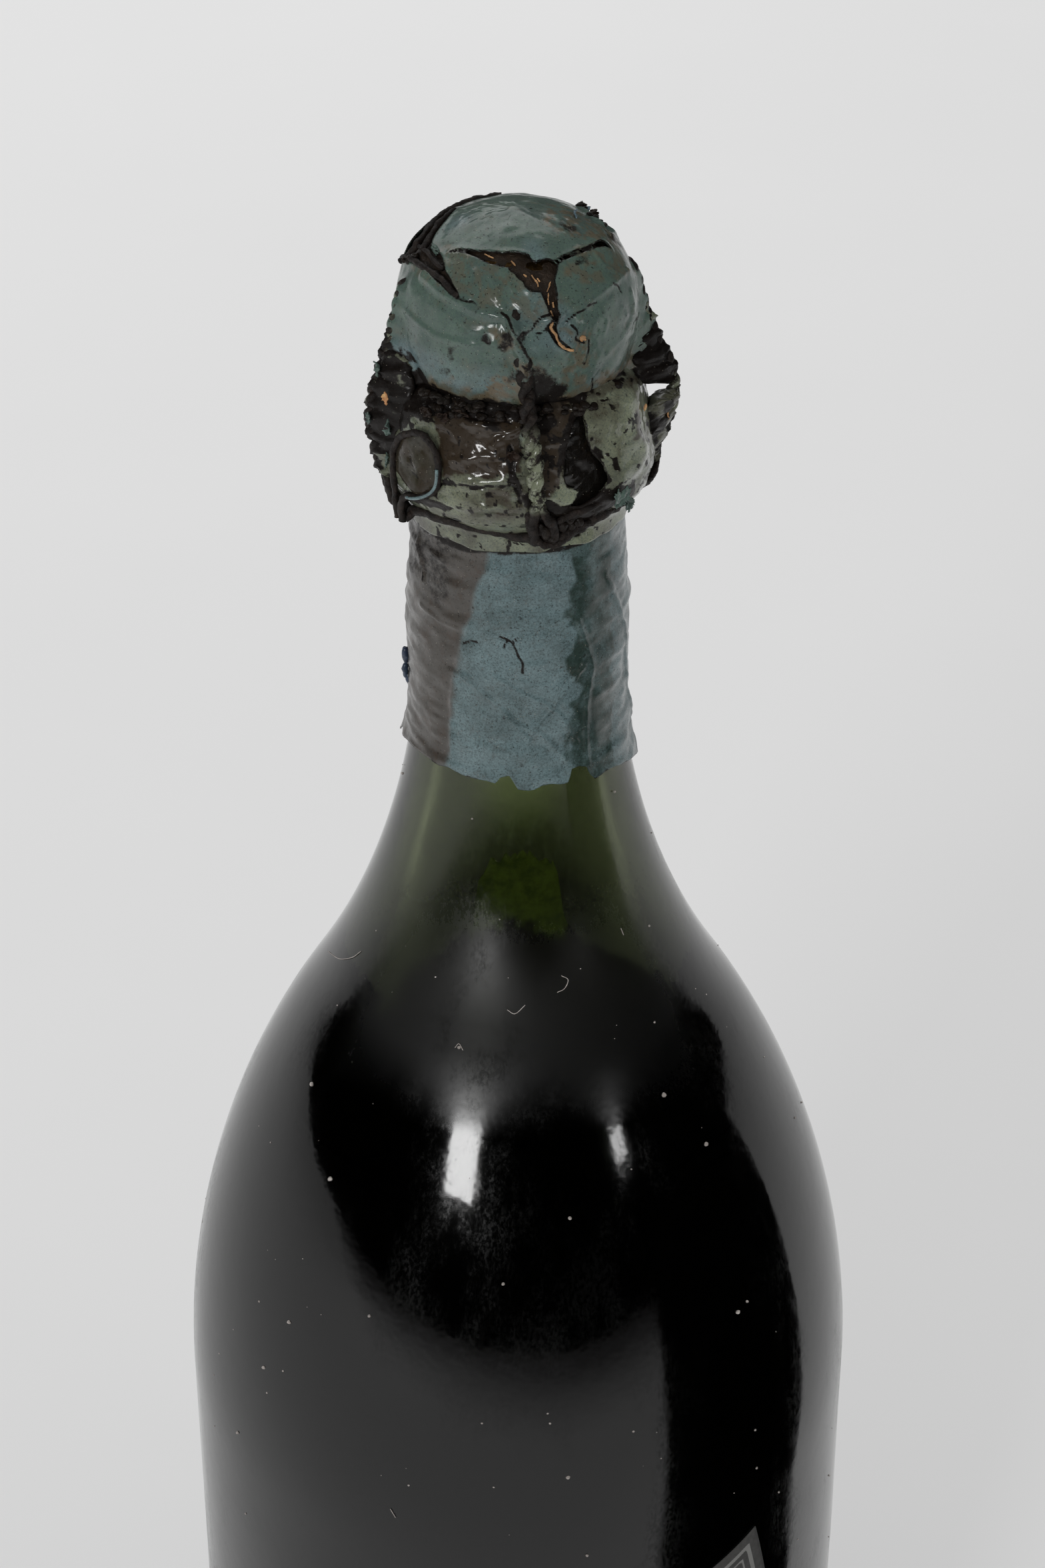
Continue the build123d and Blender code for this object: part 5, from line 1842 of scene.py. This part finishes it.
def lump_mesh(place, size, seed, flat=1.0, rows=12):
    """Rough lump: an uneven ball of a radius, pressed flat along Z where asked."""
    columns = 3 * rows // 2
    angle = np.linspace(0, math.pi, rows)[:, None]
    azimuth = np.linspace(0, 2 * math.pi, columns, endpoint=False)[None, :]
    ball = np.stack(np.broadcast_arrays(
        np.sin(angle) * np.cos(azimuth), np.sin(angle) * np.sin(azimuth), flat * np.cos(angle)), -1)
    ball = ball.reshape(-1, 3)
    points = place + ball * size
    points = points + ball * (0.3 * size * noise(points, 0.7 * size + 0.2, seed, 2))[:, None]
    return points, ring_faces(rows, columns)


def scrap_mesh(place, size, seed, curl, tall):
    """Crumpled scrap of foil that stands off the bottle at a place."""
    place = np.array(place, float)
    out = np.array([place[0], place[1], 0.0])
    out /= np.linalg.norm(out)
    side = np.array([-out[1], out[0], 0.0])
    count = 14
    u, v = np.meshgrid(np.linspace(-1, 1, count), np.linspace(-1, 1, count))
    u, v = u.ravel(), v.ravel()
    rim = 1 + 0.35 * noise(np.stack([u, v, 0 * u], -1) * 3 + seed, 1.1, seed, 3)
    points = place + size * rim[:, None] * (u[:, None] * side + tall * v[:, None] * np.array([0, 0, 1.0]))
    lift = curl * size * (0.5 * (u**2 + v**2) + 0.8 * noise(points, 0.8 * size, seed + 1, 2))
    points = points + lift[:, None] * out
    return points, grid_faces(count, count, lambda i, j: abs(i - 6) + abs(j - 6) <= 9)


class BOTTLE_OT_dirt(Operator):
    """Packs old dirt and torn foil between the cage's legs and the head, with flakes and scraps"""

    bl_idname = "bottle.dirt"
    bl_label = "Dirt and scraps"

    def execute(self, context):
        foil = context.scene.bottle_foil_look
        webs = [
            # leg, lowest, highest, thickness at the head, where it starts, turn of its root, outer thickness
            (3, 273.0, 292.5, 2.6, 13.4, 12.0, 0.5),
            (1, 282.8, 293.0, 3.0, 13.0, -10.0, 0.9),
            (1, 273.2, 281.4, 3.4, 14.8, -13.0, 0.8),
            (2, 281.0, 297.0, 1.4, 12.6, 0.0, 0.5),
            (2, 271.0, 278.0, 1.2, 14.0, 0.0, 0.5),
        ]
        points, faces, which = joined([self.web(*web) for web in webs])
        smooth = points.copy()
        points = roughened(points, 0.28, 1.1, 151)
        points = roughened(points, 0.14, 0.4, 155)
        marks = unmarked(points)
        patches = noise(smooth, 2.2, 158, 3)
        marks[:, 0] = 1 - 0.8 * ramp(patches, 0.55, 0.65)
        lower_right = (which == 2).astype(float)
        marks[:, 0] *= 1 - 0.9 * lower_right * ramp(noise(smooth, 1.5, 159, 2), -0.4, 0.1)
        marks[:, 1] = 0.35 + 0.3 * lower_right
        material = foil_material("web_dirt", foil, foil.green, foil.blue, 0.2)
        piece = new_piece("leg_dirt", points, faces, material, marks)
        finish_piece(piece, "cage", "foil")
        self.scraps(foil)
        return {"FINISHED"}

    def web(self, leg, low, high, thick, inner, turn, thin):
        """Lumpy sheet in a leg's plane, from the head or collar out to the leg."""
        rows, ring = 70, 26
        height = np.linspace(low, high, rows)
        outer = leg_radius(height, leg) + 0.75 + 0.28 * np.sin(2 * math.pi * height / 2.1)
        end = np.sqrt(np.clip(1 - np.abs(2 * (height - low) / (high - low) - 1) ** 6, 0.0, 1))
        half = np.maximum((outer - inner) / 2, 0.3) * (0.25 + 0.75 * end)
        middle = outer - half
        angle = np.linspace(0, 2 * math.pi, ring, endpoint=False)
        across = np.sign(np.cos(angle)) * np.abs(np.cos(angle)) ** 0.8
        aside = np.sin(angle)
        # Thick at the head, thin at the leg
        level = (1 - across) / 2
        width = (thin + (thick - thin) * level**1.5) * aside
        radius = middle[:, None] + half[:, None] * across[None, :]
        width = width[None, :] * (0.2 + 0.8 * end * (1 - 0.6 * ramp(height, 285.5, 290.0)))[:, None]
        azimuth = leg_azimuth(leg, height)[:, None] + np.degrees(width / radius)
        azimuth = azimuth + turn * level[None, :] * (1 - ramp(height, 286.0, 291.0))[:, None]
        points = polar(radius, azimuth, height[:, None]).reshape(-1, 3)
        faces = ring_faces(rows, ring)
        faces += [list(range(ring))[::-1], list(range((rows - 1) * ring, rows * ring))]
        return points, faces

    def scraps(self, foil):
        """Bits of foil and flakes of dirt that stand off the head."""
        view = photo_view()

        def at(x, y, out):
            place = view.on_bottle(head((x, y)))[0]
            level = math.hypot(place[0], place[1])
            place[:2] *= (level + out) / level
            return place

        def on_leg(x, y, azimuth):
            return view.on_plane(head((x, y)), azimuth)[0]

        # Colour, and for each scrap its place, size, seed of its form, curl and height against its width
        groups = {
            "scrap_green": ((0.085, 0.13, 0.105, 1.0), [
                (at(1150, 1385, 0.7), 1.3, 161, 0.5, 0.9), (at(1185, 1420, 0.6), 0.9, 162, 0.6, 0.9),
                (on_leg(85, 820, -84), 0.6, 163, 0.8, 1.3), (on_leg(45, 1040, -84), 0.5, 164, 0.8, 1.2),
                (on_leg(125, 1230, -80), 0.55, 165, 0.7, 1.3), (at(345, 280, 0.1), 0.75, 166, 0.4, 0.7),
                (on_leg(130, 1080, -80), 0.7, 167, 0.6, 1.4)]),
            "scrap_blue": ((0.12, 0.19, 0.24, 1.0), [
                (at(960, 125, 0.15), 0.7, 168, 0.6, 0.6), (at(1010, 105, 0.15), 0.5, 169, 0.8, 0.6)]),
            "scrap_brown": (FLAKE_BROWN, [
                (at(1000, 85, 0.1), 0.5, 171, 0.8, 0.6), (at(1045, 120, 0.1), 0.6, 172, 0.8, 0.6),
                (on_leg(1335, 1205, 80), 0.4, 174, 1.0, 0.8), (at(215, 330, 0.3), 0.4, 175, 0.8, 0.6)]),
            "crease_brown": (FLAKE_BROWN, [
                (at(390, 1030, 0.5), 0.8, 176, 1.0, 0.6), (at(470, 1010, 0.5), 0.8, 177, 1.0, 0.6),
                (at(690, 1200, 0.4), 0.7, 178, 1.0, 0.8), (at(330, 1000, 0.6), 0.9, 179, 1.0, 0.6)]),
            "crease_amber": (FLAKE_AMBER, [(at(1255, 990, 0.75), 0.4, 184, 0.2, 0.8)]),
            "scrap_amber": (FLAKE_AMBER, [
                (on_leg(1385, 1020, 78), 0.45, 182, 0.3, 1.4), (on_leg(1340, 1010, 76), 0.35, 183, 0.3, 1.2),
                (on_leg(120, 955, -77), 0.6, 180, 0.6, 1.0), (at(1000, 680, 0.12), 0.3, 181, 0.6, 1.0)]),
        }
        for name, (colour, bits) in groups.items():
            points, faces, _ = joined([scrap_mesh(place, size, seed, curl, tall)
                                       for place, size, seed, curl, tall in bits])
            if name in ("scrap_green", "scrap_blue"):
                material = foil_material(name + "_lacquer", foil, colour, foil.blue, 0.14)
            else:
                material = grime_material(name + "_flake", colour)
            piece = new_piece(name, points, faces, material, unmarked(points))
            thicken(piece, 0.00014, 0)
            finish_piece(piece, "bottle" if name.startswith("crease") else "cage", "foil")
        # Dark flake on the neck's left
        parts = [lump_mesh(view.on_plane([place], LEFT_EDGE_AZIMUTH)[0], size, 199, 2.6)
                 for place, size in (((609, 982), 0.45), ((608, 1004), 0.4), ((612, 1016), 0.3))]
        points, faces, _ = joined(parts)
        blue = foil_material("flake_lacquer", foil, (0.02, 0.035, 0.08, 1.0), foil.blue, 0.2, 0.3)
        finish_piece(new_piece("neck_flake", points, faces, blue, unmarked(points)), "bottle", "foil")
        # Bright split in the foil right of the leg, and streaks in the tears: their gold is painted glints
        line = shell_line(head((872, 598), (862, 615), (855, 632), (864, 648), (878, 662), (884, 682),
                               (896, 702), (920, 724), (940, 733), (958, 736)), 0.22, 185)
        parts = [tube(line, 0.15 + 0.05 * noise(line, 0.4, 186, 2), 8),
                 lump_mesh(view.on_bottle(head((1000, 680)))[0], 0.42, 187)]
        for k, run in enumerate(GLINT_STREAKS):
            streak = shell_line(run, -0.25, 188 + k)
            parts.append(tube(streak, 0.09 + 0.05 * noise(streak, 0.3, 198 + k, 2), 6))
        points, faces, _ = joined(parts)
        gold = grime_material("split_gold", (0.3, 0.17, 0.08, 1.0), 0.9, 0.2)
        finish_piece(new_piece("split_edge", points, faces, gold), "cage", "foil")


class BOTTLE_OT_cork(Operator):
    """Finishes the cork and the plate under the foil"""

    bl_idname = "bottle.cork"
    bl_label = "Cork and plate"

    def execute(self, context):
        for node, material in (("cork", cork_material()), ("cap_plate", plate_material())):
            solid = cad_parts[node]
            solid.data.materials.clear()
            solid.data.materials.append(material)
        return {"FINISHED"}


# Stage
def area_light(name, place, target, width, height, power):
    """Soft light that faces a target. Places and sizes are metres."""
    lamp = bpy.data.lights.new(name, "AREA")
    lamp.shape = "RECTANGLE"
    lamp.size = width
    lamp.size_y = height
    lamp.energy = power
    light = bpy.data.objects.new(name, lamp)
    bpy.context.scene.collection.objects.link(light)
    light.location = place
    way = np.array(target, float) - np.array(place, float)
    light.rotation_euler = (
        math.atan2(math.hypot(way[0], way[1]), -way[2]), 0, math.atan2(way[1], way[0]) - math.pi / 2)


class BOTTLE_OT_stage(Operator):
    """Lays the floor, sets the lights and the camera"""

    bl_idname = "bottle.stage"
    bl_label = "Stage"

    def execute(self, context):
        look = context.scene.bottle_stage_look
        view = PhotoView(look)
        camera = bpy.data.cameras.new("photo_camera")
        camera.sensor_fit = "AUTO"
        camera.sensor_width = 36.0
        camera.lens = look.focal * 36.0 / PHOTO_HEIGHT
        camera.clip_start = 0.01
        camera_object = bpy.data.objects.new("photo_camera", camera)
        context.scene.collection.objects.link(camera_object)
        camera_object.location = view.eye * MM
        camera_object.rotation_euler = (math.pi / 2 - look.pitch, 0, look.azimuth)
        context.scene.camera = camera_object

        reach, front = 6.0, -1.15
        mesh = bpy.data.meshes.new("floor")
        mesh.from_pydata([(-reach, front, 0), (reach, front, 0), (reach, reach, 0), (-reach, reach, 0)], [],
                         [(0, 1, 2, 3)])
        floor = bpy.data.objects.new("floor", mesh)
        context.scene.collection.objects.link(floor)
        paint = Paint("floor_paper")
        pale = paint.mix(paint.cloud(4.0, 0.3, 0.7), tuple(look.floor), tinted(look.floor, 0.985))
        # The front edge, which only shows in the glass, is darker: painted shade in front of the bottle
        fall = paint.level(paint.along("Y"), -0.42, -0.85)
        colour = paint.mix(fall, pale, tinted(look.floor, 0.22))
        paint.shade(Base_Color=colour, Roughness=0.9, Specular_IOR_Level=0.1)
        mesh.materials.append(paint.material)

        world = bpy.data.worlds.new("studio")
        context.scene.world = world
        world.use_nodes = True
        background = world.node_tree.nodes["Background"].inputs
        background["Color"].default_value = (1, 1, 1, 1)
        background["Strength"].default_value = 0.62
        world.cycles_visibility.glossy = False
        context.scene.view_settings.view_transform = "Standard"
        area_light("far_light", (-0.15, 1.5, 1.5), (-0.1, 1.3, 0.0), 1.6, 1.6, 11.5)
        area_light("left_softbox", self.around(look, -24.0, 1.5, 0.67), (0, 0, 0.19), 0.34, 0.34, 6.3)
        area_light("right_softbox", self.around(look, 44.5, 1.5, 0.61), (0, 0, 0.19), 0.15, 0.13, 0.65)
        self.dark_flag(look)
        return {"FINISHED"}

    def around(self, look, azimuth, distance, height):
        """Place at an azimuth to the right of the camera, as seen from the bottle, in metres."""
        angle = look.azimuth + math.radians(azimuth)
        return distance * math.sin(angle), -distance * math.cos(angle), height

    def dark_flag(self, look):
        """Dark upright form right of the bottle, which only shows as a reflection in the glass."""
        points, faces = lathe(glass_outside()[12:] * np.array([1.0, 1.12]), 64)
        paint = Paint("flag_black")
        tone = paint.mix(paint.cloud(20.0, 0.3, 0.7), (0.002, 0.002, 0.002, 1.0), (0.004, 0.004, 0.004, 1.0))
        paint.shade(Base_Color=tone, Specular_IOR_Level=0.0)
        place = np.array(self.around(look, 63.9, 0.1085, 0.0))
        flag = new_piece("dark_flag", points + place / MM, faces, paint.material)
        for ray in ("camera", "diffuse", "transmission", "volume_scatter", "shadow"):
            setattr(flag, "visible_" + ray, False)


class BOTTLE_PT_panel(Panel):
    """The bottle's pieces, in the order in which they are made"""

    bl_label = "Bottle"
    bl_idname = "BOTTLE_PT_panel"
    bl_space_type = "VIEW_3D"
    bl_region_type = "UI"
    bl_category = "Bottle"

    def draw(self, context):
        for operator in OPERATORS:
            self.layout.operator(operator.bl_idname)
        for name in LOOKS:
            look = getattr(context.scene, name)
            box = self.layout.box()
            for key in look.__annotations__:
                box.prop(look, key)


OPERATORS = [
    BOTTLE_OT_stage, BOTTLE_OT_glass, BOTTLE_OT_cork, BOTTLE_OT_neck_foil, BOTTLE_OT_collar_foil,
    BOTTLE_OT_cap_foil, BOTTLE_OT_cage, BOTTLE_OT_dirt,
]
LOOKS = {
    "bottle_glass_look": GlassLook,
    "bottle_foil_look": FoilLook,
    "bottle_cage_look": CageLook,
    "bottle_stage_look": StageLook,
}


def register():
    for group in LOOKS.values():
        bpy.utils.register_class(group)
    for name, group in LOOKS.items():
        setattr(bpy.types.Scene, name, PointerProperty(type=group))
    for operator in OPERATORS:
        bpy.utils.register_class(operator)
    bpy.utils.register_class(BOTTLE_PT_panel)


def unregister():
    bpy.utils.unregister_class(BOTTLE_PT_panel)
    for operator in reversed(OPERATORS):
        bpy.utils.unregister_class(operator)
    for name, group in LOOKS.items():
        delattr(bpy.types.Scene, name)
        bpy.utils.unregister_class(group)


def main():
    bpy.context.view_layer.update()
    register()
    bpy.ops.bottle.stage()
    bpy.ops.bottle.glass()
    bpy.ops.bottle.cork()
    bpy.ops.bottle.neck_foil()
    bpy.ops.bottle.collar_foil()
    bpy.ops.bottle.cap_foil()
    bpy.ops.bottle.cage()
    bpy.ops.bottle.dirt()


if __name__ == "__main__":
    main()
